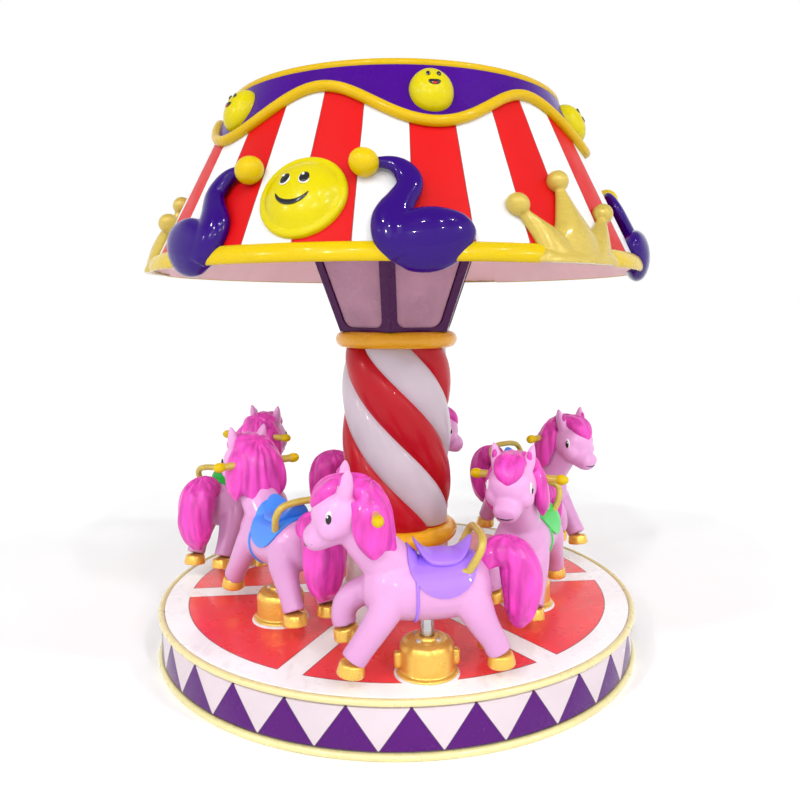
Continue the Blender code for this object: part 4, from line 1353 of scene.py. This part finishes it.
# Operators
class CAROUSEL_OT_stage(bpy.types.Operator):
    """Set out the floor, the lights and the camera"""

    bl_idname = "carousel.stage"
    bl_label = "Stage"

    def execute(self, context):
        set_camera()
        set_lights()
        set_floor()
        return {"FINISHED"}


class CAROUSEL_OT_base(bpy.types.Operator):
    """Build the fixed skirt and its bead"""

    bl_idname = "carousel.base"
    bl_label = "Base"

    def execute(self, context):
        sizes = context.scene.base_sizes
        colours = context.scene.carousel_colours
        cream = worn_gold("cream_gold", colours.cream, 0.15)
        paint = skirt_paint(colours, sizes)
        piece("base_skirt", skirt_shape(), [paint], "base", "white_gelcoat", "base_drum")
        bead = ring_bead(BASE_HIGH.x, sizes.bead, sizes.bead)
        piece("base_rail", bead, [cream], "base", "gold_trim", "base_bead")
        return {"FINISHED"}


class CAROUSEL_OT_deck(bpy.types.Operator):
    """Build the turning deck and the bead round its edge"""

    bl_idname = "carousel.deck"
    bl_label = "Deck"

    def execute(self, context):
        sizes = context.scene.base_sizes
        colours = context.scene.carousel_colours
        cream = worn_gold("cream_gold", colours.cream, 0.15)
        piece("deck_board", deck_shape(), [deck_paint(colours, sizes)], "turntable", "white_gelcoat", "deck")
        bead = ring_bead(BASE_HIGH.x, (DECK_BEAD_LOW.z + DECK_BEAD_HIGH.z) / 2, sizes.bead)
        piece("deck_rail", bead, [cream], "turntable", "gold_trim", "deck_bead")
        return {"FINISHED"}


class CAROUSEL_OT_column(bpy.types.Operator):
    """Build the plinth, the two collars and the twisted column"""

    bl_idname = "carousel.column"
    bl_label = "Column"

    def execute(self, context):
        sizes = context.scene.column_sizes
        colours = context.scene.carousel_colours
        white = white_gelcoat(colours)
        gold = painted("collar_gold", colours.collar, gloss=0.22, dust=0.12)
        # The column's red and white are darker copies of the canopy's red and the white gelcoat: painted
        # shade from the canopy, with painted pink bounce light in the white
        red = painted("column_shaded_red", colours.column_shaded_red, gloss=0.3, dust=0.1, coat=0.15, specular=0.2)
        column_shaded_white = painted("column_shaded_white", colours.column_shaded_white, gloss=0.3, dust=0.05)
        piece("plinth", plinth_shape(), [white], "turntable", "white_gelcoat", "column_plinth")
        outer = LOWER_COLLAR_HIGH.x
        lower = collar_shape(LOWER_COLLAR_LOW.z, LOWER_COLLAR_HIGH.z, outer)
        piece("collar_lower", lower, [gold], "turntable", "collar_gold", "lower_collar")
        upper = collar_shape(UPPER_COLLAR_LOW.z, UPPER_COLLAR_HIGH.z, outer)
        piece("collar_upper", upper, [gold], "turntable", "collar_gold", "upper_collar")
        column = twist_shape(sizes)
        finishes = [column_shaded_white, red]
        piece("column_twist", column, finishes, "turntable", "twist_gelcoat", "twist_column", sharp=50.0)
        return {"FINISHED"}


class CAROUSEL_OT_lantern(bpy.types.Operator):
    """Build the six-sided lantern between the column and the canopy"""

    bl_idname = "carousel.lantern"
    bl_label = "Lantern"

    def execute(self, context):
        sizes = context.scene.column_sizes
        colours = context.scene.carousel_colours
        frame_mesh, pane_mesh = lantern_shapes(sizes)
        purple = painted("lantern_purple", colours.frame, gloss=0.24, coat=0.15, specular=0.15)
        node = "lantern_frame"
        piece("lantern_posts", frame_mesh, [purple], "turntable", "lantern_purple", node, sharp=25.0)
        panes = panel_paint(colours)
        node = "lantern_panels"
        piece("lantern_panes", pane_mesh, [panes], "turntable", "lantern_panel", node, sharp=25.0)
        return {"FINISHED"}


class CAROUSEL_OT_canopy(bpy.types.Operator):
    """Build the striped shell, its ceiling and roof, the top ring and the rim bar"""

    bl_idname = "carousel.canopy"
    bl_label = "Canopy"

    def execute(self, context):
        sizes = context.scene.canopy_sizes
        colours = context.scene.carousel_colours
        stripes = striped_paint(colours, sizes)
        pale = painted("pale_ceiling", colours.ceiling, gloss=0.4, dust=0.08, coat=0.2)
        white = white_gelcoat(colours)
        yellow = rim_yellow(colours)
        bead = bead_yellow(colours)
        cone = shell_shape()
        node = "canopy_shell"
        piece("canopy_cone", cone, [stripes, pale], "turntable", "stripe_gelcoat", node, sharp=30.0)
        ceiling = disc_shape(CEILING_LOW.z, CEILING_HIGH.z)
        piece("ceiling", ceiling, [pale], "turntable", "pale_ceiling", "canopy_ceiling")
        roof = disc_shape(ROOF_LOW.z, ROOF_HIGH.z)
        piece("roof", roof, [white], "turntable", "white_gelcoat", "canopy_roof")
        thick = (TOP_RING_HIGH.z - TOP_RING_LOW.z) / 2 + RING_SWELL
        top = ring_bead(TOP_RING_HIGH.x - thick, TOP_RING_HIGH.z - thick, thick)
        piece("ring_top", top, [bead], "turntable", "yellow_gelcoat", "top_ring")
        for index in range(3):
            turn = CANOPY_TURN + CROWN_TURN + ORNAMENT_TURN * (index + 0.5)
            run = rim_bar_shape(sizes, turn, ORNAMENT_TURN / 2 - BAR_GAP)
            nodes = ("rim_bar",) if index == 0 else ()
            piece(f"rim_bar_{index + 1}", run, [yellow], "turntable", "yellow_gelcoat", *nodes)
        return {"FINISHED"}


class CAROUSEL_OT_valance(bpy.types.Operator):
    """Build the violet band, the bead along its wave and the six domes"""

    bl_idname = "carousel.valance"
    bl_label = "Valance"

    def execute(self, context):
        sizes = context.scene.canopy_sizes
        colours = context.scene.carousel_colours
        violet = painted("valance_violet", colours.valance, gloss=0.24, dust=0.1, coat=0.15, specular=0.1)
        bead = bead_yellow(colours)
        lemon = face_lemon(colours)
        ink = ink_paint(colours)
        tongue = painted("tongue_red", colours.red, gloss=0.25)
        piece("valance_band", valance_shape(sizes), [violet], "turntable", "valance_purple", "valance")
        wave = wave_bead_shape(sizes)
        piece("wave_bead", wave, [bead], "turntable", "yellow_gelcoat", "valance_bead", sharp=60.0)
        for index in range(WAVE_LOBES):
            dome = dome_shape(sizes)
            wrap(dome, sizes.dome_z, WAVE_LOW_TURN + 2 * math.pi * index / WAVE_LOBES)
            piece(f"dome_{index + 1}", dome, [lemon, ink, tongue], "turntable", "yellow_gelcoat", sharp=60.0)
        return {"FINISHED"}


class CAROUSEL_OT_faces(bpy.types.Operator):
    """Build the three large cheerful faces"""

    bl_idname = "carousel.faces"
    bl_label = "Faces"

    def execute(self, context):
        sizes = context.scene.canopy_sizes
        colours = context.scene.carousel_colours
        lemon = face_lemon(colours)
        white = white_gelcoat(colours)
        ink = ink_paint(colours)
        for index in range(3):
            face = face_shape()
            wrap(face, sizes.face_z, CANOPY_TURN + ORNAMENT_TURN * index)
            node = f"face_{index + 1}"
            finishes = [lemon, white, ink]
            piece(f"smile_{index + 1}", face, finishes, "turntable", "yellow_gelcoat", node, sharp=60.0)
        return {"FINISHED"}


class CAROUSEL_OT_horns(bpy.types.Operator):
    """Build the six curled horns with their balls"""

    bl_idname = "carousel.horns"
    bl_label = "Horns"

    def execute(self, context):
        sizes = context.scene.canopy_sizes
        colours = context.scene.carousel_colours
        violet = painted("horn_violet", colours.violet, gloss=0.15, dust=0.1, coat=0.45, specular=0.05)
        yellow = rim_yellow(colours)
        patterns = {side: as_mesh(horn_shape(sizes, side)) for side in (1, -1)}
        for index in range(3):
            for number, side in ((2 * index + 1, 1), (2 * index + 2, -1)):
                horn = bmesh.new()
                horn.from_mesh(patterns[side])
                low = number in LOW_HORNS
                z = sizes.horn_z + (0.0 if low else HORN_RISE)
                stay_in_wall(horn, z, SHELL_LOW.z - (0.0 if low else WALL))
                wrap(horn, z, CANOPY_TURN + side * HORN_TURNS[side] + ORNAMENT_TURN * index)
                node = f"horn_{number}"
                piece(f"curl_{number}", horn, [violet, yellow], "turntable", "horn_violet", node, sharp=80.0)
        return {"FINISHED"}


class CAROUSEL_OT_crowns(bpy.types.Operator):
    """Build the three crowns"""

    bl_idname = "carousel.crowns"
    bl_label = "Crowns"

    def execute(self, context):
        sizes = context.scene.canopy_sizes
        colours = context.scene.carousel_colours
        gold = worn_gold("crown_gold", colours.crown, 0.1)
        pattern = as_mesh(crown_shape(sizes))
        for index in range(3):
            crown = bmesh.new()
            crown.from_mesh(pattern)
            wrap(crown, sizes.crown_z, CANOPY_TURN + CROWN_TURN + ORNAMENT_TURN * index)
            node = f"crown_{index + 1}"
            piece(f"coronet_{index + 1}", crown, [gold], "turntable", "crown_gold", node, sharp=80.0)
        return {"FINISHED"}


class CAROUSEL_OT_ponies(bpy.types.Operator):
    """Build the six ponies with their hair, cloths, handlebars, backrests and posts"""

    bl_idname = "carousel.ponies"
    bl_label = "Ponies"

    def execute(self, context):
        sizes = context.scene.pony_sizes
        colours = context.scene.carousel_colours
        gold = worn_gold("gold_paint", colours.gold)
        pale_gold = worn_gold("crown_gold", colours.crown, 0.1)
        ink = ink_paint(colours)
        white = white_gelcoat(colours)
        yellow = rim_yellow(colours)
        hair = hair_paint(colours)
        cloths = {
            "violet": painted("cloth_violet", colours.lilac, gloss=0.35),
            "blue": painted("cloth_blue", colours.blue, gloss=0.35),
            "green": painted("cloth_green", colours.green, gloss=0.35),
        }
        pink = pony_paint(colours)
        steel = polished_steel()
        skin = pony_skin(sizes)
        patterns = {
            "figure": as_mesh(pony_figure(skin)),
            "hair": as_mesh(pony_hair(sizes)),
            "cloth": as_mesh(cloth_shape(skin)),
            "bar": as_mesh(handlebar_shape(sizes)),
            "hoop": as_mesh(backrest_shape()),
            "rod": as_mesh(post_shape(sizes)),
        }
        skin.free()
        for index in range(6):
            pony = f"pony_{index + 1}"
            place = pony_place(index)
            cloth = cloths[CLOTH_COLOURS[index]]
            parts = (
                ("figure", [pink, gold, ink, white, hair], "pony_pink", ("body",)),
                ("hair", [hair], "pony_pink", ()),
                ("cloth", [cloth], "pony_pink", ()),
                ("bar", [pale_gold, yellow], "gold_paint", ("handlebar",)),
                ("hoop", [pale_gold], "gold_paint", ("backrest",)),
                ("rod", [steel], "post_steel", ("post",)),
            )
            for part, finishes, slot, replaced in parts:
                nodes = [f"{pony}_{node}" for node in replaced]
                mesh = placed(patterns[part], place)
                piece(f"{pony}_{part}", mesh, finishes, pony, slot, *nodes, sharp=60.0)
        return {"FINISHED"}


class CAROUSEL_OT_pedestals(bpy.types.Operator):
    """Build the six cast pedestals that guide the posts"""

    bl_idname = "carousel.pedestals"
    bl_label = "Pedestals"

    def execute(self, context):
        sizes = context.scene.pony_sizes
        colours = context.scene.carousel_colours
        gold = worn_gold("gold_paint", colours.gold)
        steel = painted("bolt_zinc", (0.5, 0.5, 0.52), gloss=0.35)
        white = white_gelcoat(colours)
        for index, degrees in enumerate(PONY_AZIMUTHS):
            at = polar(PONY_RINGS[index % 2], math.radians(degrees), DECK_HIGH.z + 0.0003)
            place = Matrix.Translation(at) @ Matrix.Rotation(math.radians(degrees - 90), 4, "Z")
            stand = pedestal_shape(sizes)
            outer = sizes.pedestal + 0.017
            inner = sizes.pedestal + FLANGE
            rows = [(inner, 0.008), (outer, 0.006), (outer + 0.004, 0.0), (inner, 0.0)]
            joined(stand, turned(rows, 72, loop=True), 2)
            bmesh.ops.transform(stand, matrix=place, verts=stand.verts)
            name = f"pedestal_{index + 1}"
            piece(f"stand_{index + 1}", stand, [gold, steel, white], "turntable", "gold_paint", name)
        return {"FINISHED"}


# Stage: how high the white walls reach, where the dim ceiling starts and how bright it is
WALL_TOP = math.radians(24)
CEILING_START = math.radians(42)
CEILING_LIGHT = 0.36
# Each row of small lamps is its name, its first bearing, the step to the next, its height and its zigzag
LAMP_ROWS = (("low", -62, 31, 24, 4), ("high", -48, 27, 47, -5))
LAMPS_IN_ROW = 5
LAMP_POWER = 0.33
LAMP_WIDTH = math.radians(2.6)


def set_camera():
    """The photograph's view: a little left of straight on, from a standing eye."""
    focal = 755.27
    pixels = 800
    centre_row = 348.72
    sensor = 36.0
    eye = (0.0, -3.5676, 1.5332)
    aside = -0.0048
    down = 0.05226
    roll = -0.002
    camera = bpy.data.cameras.new("camera")
    camera.sensor_width = sensor
    camera.lens = focal / pixels * sensor
    camera.shift_y = (centre_row - pixels / 2) / pixels
    holder = linked("camera", camera)
    turn = Matrix.Rotation(aside, 4, "Z") @ Matrix.Rotation(math.pi / 2 - down, 4, "X")
    holder.matrix_world = Matrix.Translation(eye) @ turn @ Matrix.Rotation(roll, 4, "Z")
    bpy.context.scene.camera = holder


def area_light(name, place, target, size, power):
    """A round soft light that looks at a target."""
    light = bpy.data.lights.new(name, "AREA")
    light.shape = "DISK"
    light.size = size
    light.energy = power
    direction = Vector(target) - Vector(place)
    turn = direction.to_track_quat("-Z", "Y").to_matrix().to_4x4()
    linked(name, light).matrix_world = Matrix.Translation(place) @ turn


def hall_lamp(name, across, above):
    """A small far lamp, given by the two angles it shines from, in degrees."""
    light = bpy.data.lights.new(name, "SUN")
    light.energy = LAMP_POWER
    light.angle = LAMP_WIDTH
    linked(name, light).rotation_euler = (math.radians(90 - above), 0.0, math.radians(across))


def set_lights():
    """A hall with white walls and a dim ceiling, a large key and two rows of lamps for sparkle."""
    world = bpy.data.worlds.new("studio")
    bpy.context.scene.world = world
    world.use_nodes = True
    tree = world.node_tree
    place = tree.nodes.new("ShaderNodeTexCoord")
    split = tree.nodes.new("ShaderNodeSeparateXYZ")
    fade = tree.nodes.new("ShaderNodeMapRange")
    fade.inputs["From Min"].default_value = math.sin(WALL_TOP)
    fade.inputs["From Max"].default_value = math.sin(CEILING_START)
    fade.inputs["To Min"].default_value = 1.0
    fade.inputs["To Max"].default_value = CEILING_LIGHT
    tree.links.new(place.outputs["Generated"], split.inputs[0])
    tree.links.new(split.outputs["Z"], fade.inputs["Value"])
    tree.links.new(fade.outputs["Result"], tree.nodes["Background"].inputs["Strength"])
    tree.nodes["Background"].inputs["Color"].default_value = (1.0, 1.0, 1.0, 1.0)
    area_light("key", place=(-2.2, -5.0, 4.2), target=(0.0, 0.0, 1.3), size=2.5, power=12.0)
    for row, first, step, above, zigzag in LAMP_ROWS:
        for column in range(LAMPS_IN_ROW):
            hall_lamp(f"lamp_{row}_{column + 1}", first + step * column, above + zigzag * (column % 2))
    bpy.context.scene.view_settings.view_transform = "Standard"


def set_floor():
    """A plain pale floor, worn into soft clouds like a cast screed."""
    bm = bmesh.new()
    bmesh.ops.create_grid(bm, x_segments=8, y_segments=8, size=70.0)
    mesh = as_mesh(bm, "floor")
    floor = linked("floor", mesh)
    paint = Paint("floor_screed_finish", 0.0)
    mesh.materials.append(paint.surface((0.985, 0.985, 0.985, 1.0), gloss=0.7, dust=0.01, ripple=0.02))


OPERATORS = (
    CAROUSEL_OT_stage,
    CAROUSEL_OT_base,
    CAROUSEL_OT_deck,
    CAROUSEL_OT_column,
    CAROUSEL_OT_lantern,
    CAROUSEL_OT_canopy,
    CAROUSEL_OT_valance,
    CAROUSEL_OT_faces,
    CAROUSEL_OT_horns,
    CAROUSEL_OT_crowns,
    CAROUSEL_OT_ponies,
    CAROUSEL_OT_pedestals,
)
GROUPS = {
    "base_sizes": BaseSizes,
    "column_sizes": ColumnSizes,
    "canopy_sizes": CanopySizes,
    "pony_sizes": PonySizes,
    "carousel_colours": CarouselColours,
}


class CAROUSEL_PT_panel(bpy.types.Panel):
    """Sizes, colours and a button for each group of pieces"""

    bl_idname = "CAROUSEL_PT_panel"
    bl_label = "Carousel"
    bl_space_type = "VIEW_3D"
    bl_region_type = "UI"
    bl_category = "Carousel"

    def draw(self, context):
        for operator in OPERATORS:
            self.layout.operator(operator.bl_idname)
        for name, group in GROUPS.items():
            box = self.layout.box()
            for prop in group.__annotations__:
                box.prop(getattr(context.scene, name), prop)


def register():
    for group in GROUPS.values():
        bpy.utils.register_class(group)
    for operator in OPERATORS:
        bpy.utils.register_class(operator)
    bpy.utils.register_class(CAROUSEL_PT_panel)
    for name, group in GROUPS.items():
        setattr(bpy.types.Scene, name, PointerProperty(type=group))


def unregister():
    for name in GROUPS:
        delattr(bpy.types.Scene, name)
    bpy.utils.unregister_class(CAROUSEL_PT_panel)
    for operator in reversed(OPERATORS):
        bpy.utils.unregister_class(operator)
    for group in reversed(GROUPS.values()):
        bpy.utils.unregister_class(group)


def main():
    register()
    bpy.ops.carousel.stage()
    bpy.ops.carousel.base()
    bpy.ops.carousel.deck()
    bpy.ops.carousel.column()
    bpy.ops.carousel.lantern()
    bpy.ops.carousel.canopy()
    bpy.ops.carousel.valance()
    bpy.ops.carousel.faces()
    bpy.ops.carousel.horns()
    bpy.ops.carousel.crowns()
    bpy.ops.carousel.ponies()
    bpy.ops.carousel.pedestals()


if __name__ == "__main__":
    main()
